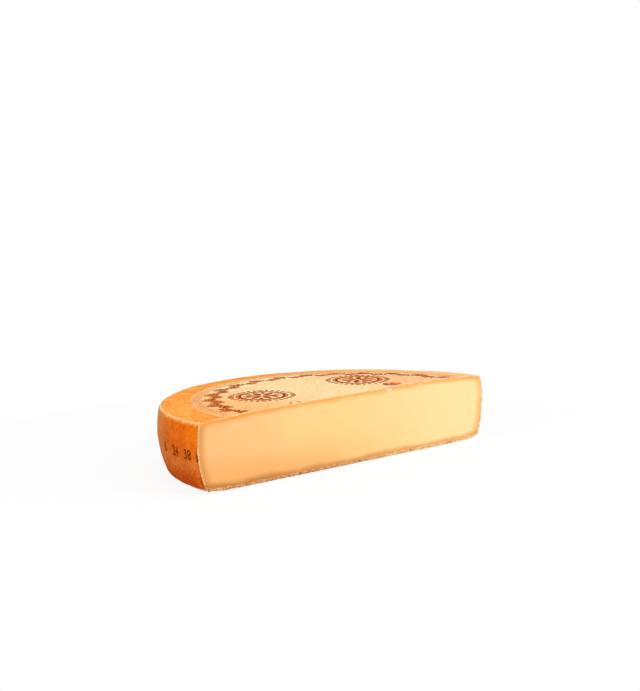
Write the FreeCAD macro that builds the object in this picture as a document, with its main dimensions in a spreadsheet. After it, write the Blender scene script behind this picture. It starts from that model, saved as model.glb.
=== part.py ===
"""Half wheel of aged hard mountain cheese, with the printed paper disc on its upper face.

Frame: millimetres, +Z up. The half wheel lies flat on its underside. The knife cut is the plane facing -Y,
the round side faces +Y, and the origin is the middle of the part's box at the height of the foot.
"""

import FreeCAD
import Part
import Sketcher

import math
import os

DOCUMENT_NAME = "CheeseHalfWheel"

# Driving sizes in millimetres and degrees: alias, value, meaning. Widths run inwards from the widest radius.
SIZES = (
    ("wheel_height", 100.0, "height of the wheel at its middle"),
    ("belly_radius", 270.0, "radius of the wheel at its widest"),
    ("belly_height", 62.0, "height of the widest ring above the foot"),
    ("side_arc_radius", 144.0, "radius of the bulging side in section"),
    ("foot_inset", 75.0, "width of the underside's lifted margin"),
    ("foot_arc_radius", 620.0, "radius of that lifted margin in section"),
    ("crown_inset", 150.0, "width of the upper face's falling margin"),
    ("crown_arc_radius", 2190.0, "radius of that falling margin in section"),
    ("shoulder_radius", 7.0, "rounding where the side meets the upper face"),
    ("heel_radius", 10.0, "rounding where the side meets the underside"),
    ("bare_rind_width", 43.0, "rind left bare around the paper disc"),
    ("paper_thickness", 0.3, "thickness of the paper disc"),
    ("cut_angle", 180.0, "share of the full turn that is left, half a wheel"),
)

START, END, CENTRE = 1, 2, 3  # point numbers on a sketch's line or arc
ORIGIN_POINT = -1, 1  # the sketch's own origin
VERTICAL_AXIS = -2  # the sketch's own upright axis, which is the wheel's axis
LEFT, RIGHT = 1, -1  # which crossing of two circles, seen along the way from the first centre to the second


def add_sizes(document):
    """Makes the spreadsheet that holds every driving size, and returns it."""
    sheet = document.addObject("Spreadsheet::Sheet", "Sizes")
    for row, (alias, value, meaning) in enumerate(SIZES, start=1):
        sheet.set(f"A{row}", alias)
        sheet.set(f"B{row}", str(value))
        sheet.setAlias(f"B{row}", alias)
        sheet.set(f"C{row}", meaning)
    document.recompute()
    return sheet


def add_body(document, name):
    """Makes a body whose wheel axis stands on the cut plane, half the part's depth forward of the origin."""
    body = document.addObject("PartDesign::Body", name)
    body.Label = name
    body.setExpression("Placement.Base.y", "-Sizes.belly_radius / 2")
    return body


def add_section_sketch(body, name):
    """Adds an empty sketch on the body's own XZ plane, for a section to be turned about the wheel's axis."""
    sketch = body.newObject("Sketcher::SketchObject", name)
    plane = next(feature for feature in body.Origin.OriginFeatures if feature.Role == "XZ_Plane")
    sketch.AttachmentSupport = (plane, [""])
    sketch.MapMode = "FlatFace"
    return sketch


def add_line(sketch, start, end):
    """Adds a straight line between two (radius, height) points and returns its number."""
    return sketch.addGeometry(Part.LineSegment(FreeCAD.Vector(*start, 0), FreeCAD.Vector(*end, 0)), False)


def add_arc(sketch, centre, radius, start, end):
    """Adds the arc that runs anticlockwise about centre from one point to another, and returns its number."""
    circle = Part.Circle(FreeCAD.Vector(*centre, 0), FreeCAD.Vector(0, 0, 1), radius)
    angles = [math.atan2(point[1] - centre[1], point[0] - centre[0]) for point in (start, end)]
    return sketch.addGeometry(Part.ArcOfCircle(circle, *angles), False)


def join(sketch, first, second):
    """Makes the second element start where the first one ends."""
    sketch.addConstraint(Sketcher.Constraint("Coincident", first, END, second, START))


def set_size(sketch, kind, elements, size, expression):
    """Adds a dimension of the size that is drawn, and binds it to an expression on the sheet."""
    number = sketch.addConstraint(Sketcher.Constraint(kind, *elements, size))
    sketch.setExpression(f"Constraints[{number}]", expression)


def circle_crossing(centre_one, radius_one, centre_two, radius_two, side):
    """Returns a crossing of two circles, on the named side of the way from centre one to centre two."""
    apart = math.dist(centre_one, centre_two)
    along = (apart**2 + radius_one**2 - radius_two**2) / (2 * apart)
    across = side * math.sqrt(radius_one**2 - along**2)
    way = [(two - one) / apart for one, two in zip(centre_one, centre_two)]
    return (
        centre_one[0] + along * way[0] - across * way[1],
        centre_one[1] + along * way[1] + across * way[0],
    )


def point_beyond(centre, middle, radius):
    """Returns the point at a radius from centre, on the way out through middle."""
    stretch = radius / math.dist(centre, middle)
    return tuple(start + stretch * (end - start) for start, end in zip(centre, middle))


def draw_wheel_section(sketch, sheet):
    """Draws half the wheel's section, as a smooth run of arcs from the foot round the side to the crown."""
    height = sheet.wheel_height
    foot_edge = sheet.belly_radius - sheet.foot_inset
    crown_edge = sheet.belly_radius - sheet.crown_inset
    foot_radius, heel_radius = sheet.foot_arc_radius, sheet.heel_radius
    side_radius, shoulder_radius = sheet.side_arc_radius, sheet.shoulder_radius
    crown_radius = sheet.crown_arc_radius
    foot_centre = (foot_edge, foot_radius)
    side_centre = (sheet.belly_radius - side_radius, sheet.belly_height)
    crown_centre = (crown_edge, height - crown_radius)
    heel_centre = circle_crossing(
        foot_centre, foot_radius - heel_radius, side_centre, side_radius - heel_radius, LEFT
    )
    shoulder_centre = circle_crossing(
        crown_centre, crown_radius - shoulder_radius, side_centre, side_radius - shoulder_radius, RIGHT
    )
    heel_under = point_beyond(foot_centre, heel_centre, foot_radius)
    heel_out = point_beyond(side_centre, heel_centre, side_radius)
    shoulder_out = point_beyond(side_centre, shoulder_centre, side_radius)
    shoulder_over = point_beyond(crown_centre, shoulder_centre, crown_radius)

    foot = add_line(sketch, (0, 0), (foot_edge, 0))
    margin = add_arc(sketch, foot_centre, foot_radius, (foot_edge, 0), heel_under)
    heel = add_arc(sketch, heel_centre, heel_radius, heel_under, heel_out)
    side = add_arc(sketch, side_centre, side_radius, heel_out, shoulder_out)
    shoulder = add_arc(sketch, shoulder_centre, shoulder_radius, shoulder_out, shoulder_over)
    fall = add_arc(sketch, crown_centre, crown_radius, shoulder_over, (crown_edge, height))
    crown = add_line(sketch, (crown_edge, height), (0, height))
    axis = add_line(sketch, (0, height), (0, 0))

    sketch.addConstraint(Sketcher.Constraint("Coincident", foot, START, *ORIGIN_POINT))
    sketch.addConstraint(Sketcher.Constraint("Horizontal", foot))
    outline = (foot, margin, heel, side, shoulder, fall, crown)
    for first, second in zip(outline, outline[1:]):
        sketch.addConstraint(Sketcher.Constraint("Tangent", first, END, second, START))
    sketch.addConstraint(Sketcher.Constraint("Horizontal", crown))
    join(sketch, crown, axis)
    sketch.addConstraint(Sketcher.Constraint("Vertical", axis))
    join(sketch, axis, foot)

    foot_ends = (foot, START, foot, END)
    set_size(sketch, "DistanceX", foot_ends, foot_edge, "Sizes.belly_radius - Sizes.foot_inset")
    set_size(sketch, "Radius", (margin,), foot_radius, "Sizes.foot_arc_radius")
    set_size(sketch, "Radius", (heel,), heel_radius, "Sizes.heel_radius")
    set_size(sketch, "Radius", (side,), side_radius, "Sizes.side_arc_radius")
    side_middle = (*ORIGIN_POINT, side, CENTRE)
    set_size(sketch, "DistanceX", side_middle, side_centre[0], "Sizes.belly_radius - Sizes.side_arc_radius")
    set_size(sketch, "DistanceY", side_middle, side_centre[1], "Sizes.belly_height")
    set_size(sketch, "Radius", (shoulder,), shoulder_radius, "Sizes.shoulder_radius")
    set_size(sketch, "Radius", (fall,), crown_radius, "Sizes.crown_arc_radius")
    crown_ends = (crown, END, crown, START)
    set_size(sketch, "DistanceX", crown_ends, crown_edge, "Sizes.belly_radius - Sizes.crown_inset")
    set_size(sketch, "DistanceY", (axis, END, axis, START), height, "Sizes.wheel_height")


def draw_paper_section(sketch, sheet):
    """Draws half the paper disc's section, which lies on the crown and follows its falling margin."""
    under = sheet.wheel_height
    over = under + sheet.paper_thickness
    crown_edge = sheet.belly_radius - sheet.crown_inset
    paper_edge = sheet.belly_radius - sheet.bare_rind_width
    centre = (crown_edge, under - sheet.crown_arc_radius)
    under_radius = sheet.crown_arc_radius
    over_radius = under_radius + sheet.paper_thickness
    reach = paper_edge - crown_edge
    under_rim = (paper_edge, centre[1] + math.sqrt(under_radius**2 - reach**2))
    over_rim = (paper_edge, centre[1] + math.sqrt(over_radius**2 - reach**2))

    bottom = add_line(sketch, (0, under), (crown_edge, under))
    # the lower arc is drawn from the rim inwards, because an arc runs anticlockwise
    lower = add_arc(sketch, centre, under_radius, under_rim, (crown_edge, under))
    rim = add_line(sketch, under_rim, over_rim)
    upper = add_arc(sketch, centre, over_radius, over_rim, (crown_edge, over))
    top = add_line(sketch, (crown_edge, over), (0, over))
    axis = add_line(sketch, (0, over), (0, under))

    sketch.addConstraint(Sketcher.Constraint("Horizontal", bottom))
    sketch.addConstraint(Sketcher.Constraint("Tangent", bottom, END, lower, END))
    sketch.addConstraint(Sketcher.Constraint("Coincident", lower, START, rim, START))
    sketch.addConstraint(Sketcher.Constraint("Vertical", rim))
    join(sketch, rim, upper)
    sketch.addConstraint(Sketcher.Constraint("Coincident", upper, CENTRE, lower, CENTRE))
    sketch.addConstraint(Sketcher.Constraint("Tangent", upper, END, top, START))
    sketch.addConstraint(Sketcher.Constraint("Horizontal", top))
    join(sketch, top, axis)
    sketch.addConstraint(Sketcher.Constraint("Vertical", axis))
    sketch.addConstraint(Sketcher.Constraint("Coincident", axis, END, bottom, START))
    sketch.addConstraint(Sketcher.Constraint("PointOnObject", bottom, START, VERTICAL_AXIS))

    bottom_ends = (bottom, START, bottom, END)
    set_size(sketch, "DistanceY", (*ORIGIN_POINT, bottom, START), under, "Sizes.wheel_height")
    set_size(sketch, "DistanceX", bottom_ends, crown_edge, "Sizes.belly_radius - Sizes.crown_inset")
    set_size(sketch, "Radius", (lower,), under_radius, "Sizes.crown_arc_radius")
    rim_place = (*ORIGIN_POINT, rim, START)
    set_size(sketch, "DistanceX", rim_place, paper_edge, "Sizes.belly_radius - Sizes.bare_rind_width")
    set_size(sketch, "DistanceY", (axis, END, axis, START), over - under, "Sizes.paper_thickness")


def turn_section(body, sketch, name):
    """Turns a section about the wheel's axis from the cut plane round through +Y, and returns the feature."""
    turned = body.newObject("PartDesign::Revolution", name)
    turned.Profile = sketch
    turned.ReferenceAxis = (sketch, ["V_Axis"])
    turned.setExpression("Angle", "Sizes.cut_angle")
    sketch.Visibility = False
    body.Document.recompute()
    return turned


def build_cheese(document, sheet):
    """Builds the half wheel itself: paste and rind are one solid."""
    body = add_body(document, "half_wheel")
    sketch = add_section_sketch(body, "WheelSection")
    draw_wheel_section(sketch, sheet)
    body.Tip = turn_section(body, sketch, "TurnedWheel")
    return body


def build_paper(document, sheet):
    """Builds the half disc of printed paper that is stuck to the upper face."""
    body = add_body(document, "paper_disc")
    sketch = add_section_sketch(body, "PaperSection")
    draw_paper_section(sketch, sheet)
    body.Tip = turn_section(body, sketch, "TurnedPaper")
    return body


def check(document, bodies):
    """Stops the build if any object failed or any sub-part is not one valid solid."""
    document.recompute()
    failed = [item.Name for item in document.Objects if {"Invalid", "Error"} & set(item.State)]
    loose = [item.Name for item in document.Objects if not getattr(item, "FullyConstrained", True)]
    broken = [
        body.Label
        for body in bodies
        if body.Shape.isNull() or not body.Shape.isValid() or len(body.Shape.Solids) != 1
    ]
    if failed or loose or broken:
        raise RuntimeError(f"failed: {failed}, not fully constrained: {loose}, not one valid solid: {broken}")


def main():
    """Builds the document and writes each sub-part to its own file."""
    document = FreeCAD.newDocument(DOCUMENT_NAME)
    sheet = add_sizes(document)
    bodies = [build_cheese(document, sheet), build_paper(document, sheet)]
    check(document, bodies)
    os.makedirs("parts", exist_ok=True)
    for body in bodies:
        body.Shape.exportStep(os.path.join("parts", f"{body.Label}.step"))
        box = body.Shape.optimalBoundingBox()
        print(
            f"{body.Label}: {box.XLength:.1f} x {box.YLength:.1f} x {box.ZLength:.1f} mm, "
            f"{body.Shape.Volume / 1000:.0f} ml"
        )


main()
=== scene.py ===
"""A half wheel of aged mountain cheese with its printed paper disc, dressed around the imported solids.

Frame: metres, +Z up. The wheel's axis stands in the knife cut, which faces -Y, and the round side faces +Y.
Left and right are seen by someone who faces the cut.
"""

from __future__ import annotations

import logging
import math
import random
from collections.abc import Callable, Iterable, Sequence
from dataclasses import dataclass
from enum import Enum, IntEnum
from functools import cached_property, reduce

import bmesh
import bpy
from mathutils import Matrix, Vector, noise
from mathutils.bvhtree import BVHTree

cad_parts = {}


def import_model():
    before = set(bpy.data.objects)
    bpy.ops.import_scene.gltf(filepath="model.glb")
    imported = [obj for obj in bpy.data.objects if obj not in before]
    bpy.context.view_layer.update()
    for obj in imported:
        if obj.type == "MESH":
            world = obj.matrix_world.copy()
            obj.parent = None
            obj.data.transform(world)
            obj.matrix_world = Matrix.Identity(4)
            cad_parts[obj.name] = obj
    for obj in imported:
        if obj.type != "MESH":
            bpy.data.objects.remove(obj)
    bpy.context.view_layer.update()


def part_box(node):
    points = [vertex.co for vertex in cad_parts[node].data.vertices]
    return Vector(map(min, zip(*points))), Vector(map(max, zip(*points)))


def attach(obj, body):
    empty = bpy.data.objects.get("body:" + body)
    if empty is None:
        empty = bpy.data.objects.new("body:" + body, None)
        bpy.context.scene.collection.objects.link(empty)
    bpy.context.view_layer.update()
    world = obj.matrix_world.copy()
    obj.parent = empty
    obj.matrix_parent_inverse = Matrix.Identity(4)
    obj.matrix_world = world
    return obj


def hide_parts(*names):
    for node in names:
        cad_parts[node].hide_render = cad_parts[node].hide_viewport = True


MM = 0.001
BODY = "root"
WELD = 0.01 * MM  # points nearer than this are one point
PAPER_OVERLAP = 4 * MM  # how far the paper reaches out over the rind's finely meshed part
HALF_TURN = math.pi
FULL_TURN = math.tau

Mesh = bmesh.types.BMesh
Vert = bmesh.types.BMVert
Edge = bmesh.types.BMEdge
Face = bmesh.types.BMFace
Piece = bpy.types.Object
Material = bpy.types.Material
NodeTree = bpy.types.NodeTree
Inlets = bpy.types.NodeInputs
Outlets = bpy.types.NodeOutputs
Socket = bpy.types.NodeSocket
Span = tuple[float, float]
Spot = tuple[float, float]
Colour = tuple[float, float, float]
Value = float | Socket
Tint = Colour | Socket
Coat = tuple[Socket, Socket, Socket]
Curve = Callable[[float], Vector]

logger = logging.getLogger("cheese")


def paint(red: int, green: int, blue: int) -> Colour:
    """Turns a screen colour of 0 to 255 a channel into the linear colour that a shader takes.

    Args:
        red: The red channel.
        green: The green channel.
        blue: The blue channel.

    Returns:
        The linear colour.
    """

    def linear(channel: int) -> float:
        """Undoes the screen's curve for one channel."""
        share = channel / 255
        return share / 12.92 if share <= 0.04045 else ((share + 0.055) / 1.055) ** 2.4

    return linear(red), linear(green), linear(blue)


def blend(first: float, second: float, share: float) -> float:
    """Returns the value that lies a share of the way from the first to the second."""
    return first + (second - first) * share


def ease(value: float, start: float, end: float) -> float:
    """Returns 0 before start, 1 after end, and a smooth rise between them. Start may be the larger."""
    share = min(max((value - start) / (end - start), 0.0), 1.0)
    return share * share * (3 - 2 * share)


# ----------------------------------------
# Shape of the wheel


@dataclass(frozen=True)
class Arc:
    """A round stretch of the wheel's section. It starts and ends nearest to two points."""

    centre: Spot
    radius: float
    start: Spot
    end: Spot

    def points(self, spacing: float) -> list[Spot]:
        """Lists evenly spaced points after the start, up to and with the end.

        Args:
            spacing: The widest gap between two points.

        Returns:
            The points as radius and height.
        """
        across, up = self.centre
        angles = [math.atan2(point[1] - up, point[0] - across) for point in (self.start, self.end)]
        steps = max(2, math.ceil(abs(angles[1] - angles[0]) * self.radius / spacing))
        turned = [blend(*angles, step / steps) for step in range(1, steps + 1)]
        return [(across + self.radius * math.cos(a), up + self.radius * math.sin(a)) for a in turned]


@dataclass(frozen=True)
class WheelSection:
    """Half of the wheel's section, from the foot round the side to the crown.

    Radii are measured from the wheel's axis, heights from the foot and insets inwards from the widest ring.

    Attributes:
        height: Height of the wheel at its middle.
        belly_radius: Radius of the wheel at its widest.
        cut_y: Where the plane of the knife cut lies.
        belly_height: Height of the widest ring.
        side_arc_radius: Radius of the bulging side in section.
        foot_inset: Width of the underside's lifted margin.
        foot_arc_radius: Radius of that margin in section.
        crown_inset: Width of the upper face's falling margin.
        crown_arc_radius: Radius of that margin in section.
        shoulder_radius: Rounding where the side meets the upper face.
        heel_radius: Rounding where the side meets the underside.
    """

    height: float
    belly_radius: float
    cut_y: float
    belly_height: float = 62 * MM
    side_arc_radius: float = 144 * MM
    foot_inset: float = 75 * MM
    foot_arc_radius: float = 620 * MM
    crown_inset: float = 150 * MM
    crown_arc_radius: float = 2190 * MM
    shoulder_radius: float = 7 * MM
    heel_radius: float = 10 * MM

    @classmethod
    def from_frame(cls) -> WheelSection:
        """Takes the height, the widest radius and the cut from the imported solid."""
        low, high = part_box("half_wheel")
        return cls(height=high.z, belly_radius=(high.x - low.x) / 2, cut_y=low.y)

    @property
    def foot_edge(self) -> float:
        """Radius at which the flat foot ends."""
        return self.belly_radius - self.foot_inset

    @property
    def crown_edge(self) -> float:
        """Radius at which the crown starts to fall."""
        return self.belly_radius - self.crown_inset

    @property
    def side_centre(self) -> Spot:
        """Centre of the side's arc."""
        return self.belly_radius - self.side_arc_radius, self.belly_height

    def radius_of(self, point: Vector) -> float:
        """Returns how far a point lies from the wheel's axis."""
        return math.hypot(point.x, point.y - self.cut_y)

    def crown_height(self, radius: float) -> float:
        """Returns the height of the upper face at a radius."""
        reach = max(radius - self.crown_edge, 0.0)
        return self.height - self.crown_arc_radius + math.sqrt(self.crown_arc_radius**2 - reach**2)

    def foot_height(self, radius: float) -> float:
        """Returns the height of the underside at a radius."""
        reach = max(radius - self.foot_edge, 0.0)
        return self.foot_arc_radius - math.sqrt(self.foot_arc_radius**2 - reach**2)

    def band(self, spacing: float, crown_limit: float) -> list[Spot]:
        """Lists the section's points from the foot's edge round the side to a ring on the crown.

        Args:
            spacing: The widest gap between two points.
            crown_limit: Radius at which the band ends on the crown.

        Returns:
            The points as radius and height.
        """
        foot_centre = (self.foot_edge, self.foot_arc_radius)
        crown_centre = (self.crown_edge, self.height - self.crown_arc_radius)
        heel_centre = circle_crossing(
            foot_centre,
            self.foot_arc_radius - self.heel_radius,
            self.side_centre,
            self.side_arc_radius - self.heel_radius,
        )
        shoulder_centre = circle_crossing(
            self.side_centre,
            self.side_arc_radius - self.shoulder_radius,
            crown_centre,
            self.crown_arc_radius - self.shoulder_radius,
        )
        heel_under = point_beyond(foot_centre, heel_centre, self.foot_arc_radius)
        heel_out = point_beyond(self.side_centre, heel_centre, self.side_arc_radius)
        shoulder_out = point_beyond(self.side_centre, shoulder_centre, self.side_arc_radius)
        shoulder_over = point_beyond(crown_centre, shoulder_centre, self.crown_arc_radius)
        crown_end = (crown_limit, self.crown_height(crown_limit))
        arcs = (
            (foot_centre, self.foot_arc_radius, heel_under, 2 * spacing),
            (heel_centre, self.heel_radius, heel_out, spacing),
            (self.side_centre, self.side_arc_radius, shoulder_out, spacing),
            (shoulder_centre, self.shoulder_radius, shoulder_over, spacing),
            (crown_centre, self.crown_arc_radius, crown_end, spacing),
        )
        start = (self.foot_edge, 0.0)
        points = [start]
        for centre, radius, end, gap in arcs:
            points += Arc(centre, radius, start, end).points(gap)
            start = end
        return points


def circle_crossing(first: Spot, first_radius: float, second: Spot, second_radius: float) -> Spot:
    """Finds where two circles cross, to the left of the way from the first centre to the second.

    Args:
        first: Centre of the first circle.
        first_radius: Its radius.
        second: Centre of the second circle.
        second_radius: Its radius.

    Returns:
        The crossing.
    """
    apart = math.dist(first, second)
    along = (apart**2 + first_radius**2 - second_radius**2) / (2 * apart)
    across = math.sqrt(first_radius**2 - along**2)
    way = [(b - a) / apart for a, b in zip(first, second)]
    return first[0] + along * way[0] - across * way[1], first[1] + along * way[1] + across * way[0]


def point_beyond(centre: Spot, middle: Spot, radius: float) -> Spot:
    """Returns the point at a radius from centre, on the way out through middle."""
    stretch = radius / math.dist(centre, middle)
    return centre[0] + stretch * (middle[0] - centre[0]), centre[1] + stretch * (middle[1] - centre[1])


@dataclass(frozen=True)
class Wave:
    """A seeded unevenness of one size.

    Attributes:
        height: The most that it stands out or in.
        length: The distance from one swell to the next.
        octaves: How many finer waves ride on it.
        seed: Which of its endless forms it takes.
    """

    height: float
    length: float
    octaves: int = 1
    seed: float = 0.0

    def at(self, point: Vector) -> float:
        """Returns how far the wave stands out at a point."""
        place = point / self.length + Vector((self.seed, 2 * self.seed, -self.seed))
        lower, finer = 1.0, 2.0  # how much each finer wave loses in height, and how much shorter it is
        return self.height * noise.fractal(place, lower, finer, self.octaves)


# ----------------------------------------
# Mesh helpers

LEFT_TO_RIGHT = Vector((1.0, 0.0, 0.0))
FRONT_TO_BACK = Vector((0.0, 1.0, 0.0))
UPWARDS = Vector((0.0, 0.0, 1.0))


def new_object(name: str, mesh: Mesh, sharp_angle: float = 40.0) -> Piece:
    """Turns a mesh into an object in the scene, shaded smooth but for its sharp edges.

    Args:
        name: The object's name.
        mesh: Its mesh, in place. It is freed.
        sharp_angle: Edges that turn by more degrees than this stay sharp.

    Returns:
        The object.
    """
    data = bpy.data.meshes.new(name)
    for face in mesh.faces:
        face.smooth = True
    mesh.to_mesh(data)
    mesh.free()
    data.set_sharp_from_angle(angle=math.radians(sharp_angle))
    piece = bpy.data.objects.new(name, data)
    bpy.context.scene.collection.objects.link(piece)
    return piece


def all_verts(geometry: Iterable) -> list[Vert]:
    """Returns the vertices among some geometry."""
    return [item for item in geometry if isinstance(item, Vert)]


def trim(mesh: Mesh, front: float) -> None:
    """Cuts a mesh along an upright plane that faces the front, and takes away what stands before it."""
    geometry = [*mesh.verts, *mesh.edges, *mesh.faces]
    plane = {"plane_co": (0.0, front, 0.0), "plane_no": FRONT_TO_BACK}
    bmesh.ops.bisect_plane(mesh, geom=geometry, dist=WELD, clear_inner=True, **plane)


def score(
    mesh: Mesh, faces: Sequence[Face], axis: Vector, start: float, end: float, gap: float
) -> list[Face]:
    """Cuts parallel lines across some faces, as a ruler and a knife would.

    Args:
        mesh: The mesh.
        faces: The faces to cut.
        axis: The direction across the lines.
        start: Place of the first line along the axis.
        end: Where the lines stop.
        gap: Distance from one line to the next.

    Returns:
        The faces that the given ones became.
    """
    snap = 0.12 * gap  # a vertex nearer than this to a line is taken as on it
    done: list[Face] = []
    ahead = list(faces)
    for line in range(math.floor((end - start) / gap) + 1):
        place = start + line * gap
        edges = {edge for face in ahead for edge in face.edges}
        verts = {vert for face in ahead for vert in face.verts}
        cut = bmesh.ops.bisect_plane(
            mesh, geom=[*verts, *edges, *ahead], dist=snap, plane_co=axis * place, plane_no=axis
        )
        parts = [item for item in cut["geom"] if isinstance(item, Face)]
        ahead = [face for face in parts if face.calc_center_median().dot(axis) > place]
        done += [face for face in parts if face.calc_center_median().dot(axis) <= place]
    return done + ahead


def pour(part: Mesh, mesh: Mesh) -> None:
    """Adds a finished part to a mesh and frees the part.

    Args:
        part: What is added.
        mesh: What it is added to.
    """
    carrier = bpy.data.meshes.new("carrier")
    part.to_mesh(carrier)
    part.free()
    mesh.from_mesh(carrier)
    bpy.data.meshes.remove(carrier)


def slab(mesh: Mesh, one_side: Curve, other_side: Curve, steps: int) -> list[Vert]:
    """Lays a flat closed plate between two curves. Its underside lies at 0 and its top at 1.

    Args:
        mesh: The mesh to add to.
        one_side: Gives the first edge's point for a share from 0 to 1.
        other_side: Gives the second edge's point for the same share.
        steps: Number of stretches along the curves.

    Returns:
        The plate's vertices.
    """
    half = 0.5
    grid = bmesh.ops.create_grid(mesh, x_segments=steps, y_segments=1, size=half)["verts"]
    for vert in grid:
        share = vert.co.x + half
        vert.co = one_side(share) if vert.co.y > 0 else other_side(share)
    bmesh.ops.remove_doubles(mesh, verts=grid, dist=WELD)
    grid = [vert for vert in grid if vert.is_valid]
    faces = list({face for vert in grid for face in vert.link_faces})
    raised = bmesh.ops.extrude_face_region(mesh, geom=faces)["geom"]
    lifted = all_verts(raised)
    bmesh.ops.translate(mesh, verts=lifted, vec=UPWARDS)
    return grid + lifted


def ring_point(radius: float, turn: float) -> Vector:
    """Returns the point at a radius and an angle in the flat."""
    return Vector((radius * math.cos(turn), radius * math.sin(turn), 0.0))


def flat(spot: Spot) -> Vector:
    """Returns a spot of the flat as a point."""
    return Vector((*spot, 0.0))


def way_of(turn: float, rise: float) -> Vector:
    """Returns the way to the front, turned to the right and raised by some degrees."""
    right, up = math.radians(turn), math.radians(rise)
    return Vector((math.sin(right) * math.cos(up), -math.cos(right) * math.cos(up), math.sin(up)))


def stroke(mesh: Mesh, path: Curve, width: Callable[[float], float], steps: int) -> list[Vert]:
    """Lays a flat plate along a path, as a pen of changing width would.

    Args:
        mesh: The mesh to add to.
        path: Gives the middle of the stroke for a share from 0 to 1.
        width: Gives its width for the same share.
        steps: Number of stretches along the path.

    Returns:
        The plate's vertices.
    """
    nudge = 0.001

    def side(share: float, sign: int) -> Vector:
        """Returns the stroke's edge on one side."""
        ahead = path(share + nudge) - path(share - nudge)
        across = Vector((-ahead.y, ahead.x, 0.0)).normalized()
        return path(share) + across * (sign * width(share) / 2)

    return slab(mesh, lambda share: side(share, 1), lambda share: side(share, -1), steps)


# ----------------------------------------
# Shader helpers

FLOAT = "NodeSocketFloat"
VECTOR = "NodeSocketVector"
COLOUR = "NodeSocketColor"


class Graph:
    """Adds nodes to one node tree and links each to its inputs as it is added."""

    def __init__(self, tree: NodeTree) -> None:
        """Takes the tree and empties it."""
        self.tree = tree
        tree.nodes.clear()

    def add(self, kind: str, inputs: dict | None = None, **settings) -> bpy.types.Node:
        """Adds a node.

        Args:
            kind: The node's type name.
            inputs: Values or sockets for its inputs, by name or number.
            settings: Properties to set on the node.

        Returns:
            The node.
        """
        node = self.tree.nodes.new(kind)
        for name, value in settings.items():
            setattr(node, name, value)
        self.feed_all(node.inputs, inputs or {})
        return node

    def feed(self, socket: Socket, value: object) -> None:
        """Links a socket to another, or sets it to a number, a vector or a colour."""
        if isinstance(value, Socket):
            self.tree.links.new(value, socket)
        elif socket.type == "RGBA":
            socket.default_value = (*value, 1.0)
        else:
            socket.default_value = value

    def feed_all(self, sockets: Inlets, values: dict) -> None:
        """Feeds the sockets that are named or numbered."""
        for key, value in values.items():
            self.feed(sockets[key], value)

    def math(self, operation: str, *values: Value) -> Socket:
        """Adds a Math node and returns its result."""
        return self.add("ShaderNodeMath", dict(enumerate(values)), operation=operation).outputs[0]

    def total(self, *values: Value) -> Value:
        """Returns the sum of some values."""
        return reduce(lambda first, second: self.math("ADD", first, second), values)

    def product(self, *values: Value) -> Value:
        """Returns the product of some values."""
        return reduce(lambda first, second: self.math("MULTIPLY", first, second), values)

    def less(self, whole: Value, part: Value) -> Socket:
        """Returns what a value leaves when another is taken from it."""
        return self.math("SUBTRACT", whole, part)

    def fade(self, value: Socket, start: float, end: float) -> Socket:
        """Returns a mask that rises smoothly from 0 at start to 1 at end."""
        inputs = {"Value": value, "From Min": start, "From Max": end}
        return self.add("ShaderNodeMapRange", inputs, interpolation_type="SMOOTHSTEP").outputs["Result"]

    def mix(self, share: Value, first: Tint, second: Tint) -> Socket:
        """Returns the first colour passing over into the second."""
        return self.add("ShaderNodeMix", {0: share, 6: first, 7: second}, data_type="RGBA").outputs[2]

    def scale(self, size: Value) -> Value:
        """Returns the scale of a texture whose swells have a size in metres."""
        return self.math("DIVIDE", 1.0, size) if isinstance(size, Socket) else 1 / size

    def noise(self, place: Socket, size: Value, detail: float = 3.0, roughness: float = 0.55) -> Socket:
        """Returns a cloudy value about a half, with swells of a size in metres."""
        inputs = {"Vector": place, "Scale": self.scale(size), "Detail": detail, "Roughness": roughness}
        return self.add("ShaderNodeTexNoise", inputs).outputs["Fac"]

    def place(self) -> Socket:
        """Returns the surface point in the object's own coordinates."""
        return self.add("ShaderNodeTexCoord").outputs["Object"]

    def split(self, place: Socket) -> Outlets:
        """Returns the three coordinates of a point."""
        return self.add("ShaderNodeSeparateXYZ", {0: place}).outputs

    def stretch(
        self,
        place: Socket,
        lengths: Sequence[float],
        turn: Sequence[float] = (0, 0, 0),
        shift: Sequence[float] = (0, 0, 0),
    ) -> Socket:
        """Returns coordinates in which a pattern is drawn out along each axis, then turned and shifted."""
        inputs = {"Vector": place, "Location": shift, "Rotation": turn, "Scale": lengths}
        return self.add("ShaderNodeMapping", inputs, vector_type="TEXTURE").outputs[0]

    def bump(self, height: Socket, distance: float, strength: float) -> Socket:
        """Returns the normal of a surface roughened by a height."""
        inputs = {"Height": height, "Distance": distance, "Strength": strength}
        return self.add("ShaderNodeBump", inputs).outputs[0]

    def group(self, group: NodeTree, inputs: dict) -> Outlets:
        """Places a shader group, feeds its inputs and returns its outputs."""
        node = self.add("ShaderNodeGroup", node_tree=group)
        self.feed_all(node.inputs, inputs)
        return node.outputs


def new_group(name: str, inputs: dict[str, str], outputs: dict[str, str]) -> tuple[Graph, Outlets, Inlets]:
    """Makes an empty shader group with named sockets.

    Args:
        name: The group's name.
        inputs: Socket types by input name.
        outputs: Socket types by output name.

    Returns:
        A graph on the group, what the group is given, and what it has to feed.
    """
    graph = Graph(bpy.data.node_groups.new(name, "ShaderNodeTree"))
    for side, sockets in (("INPUT", inputs), ("OUTPUT", outputs)):
        for label, kind in sockets.items():
            graph.tree.interface.new_socket(label, in_out=side, socket_type=kind)
    return graph, graph.add("NodeGroupInput").outputs, graph.add("NodeGroupOutput").inputs


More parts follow.
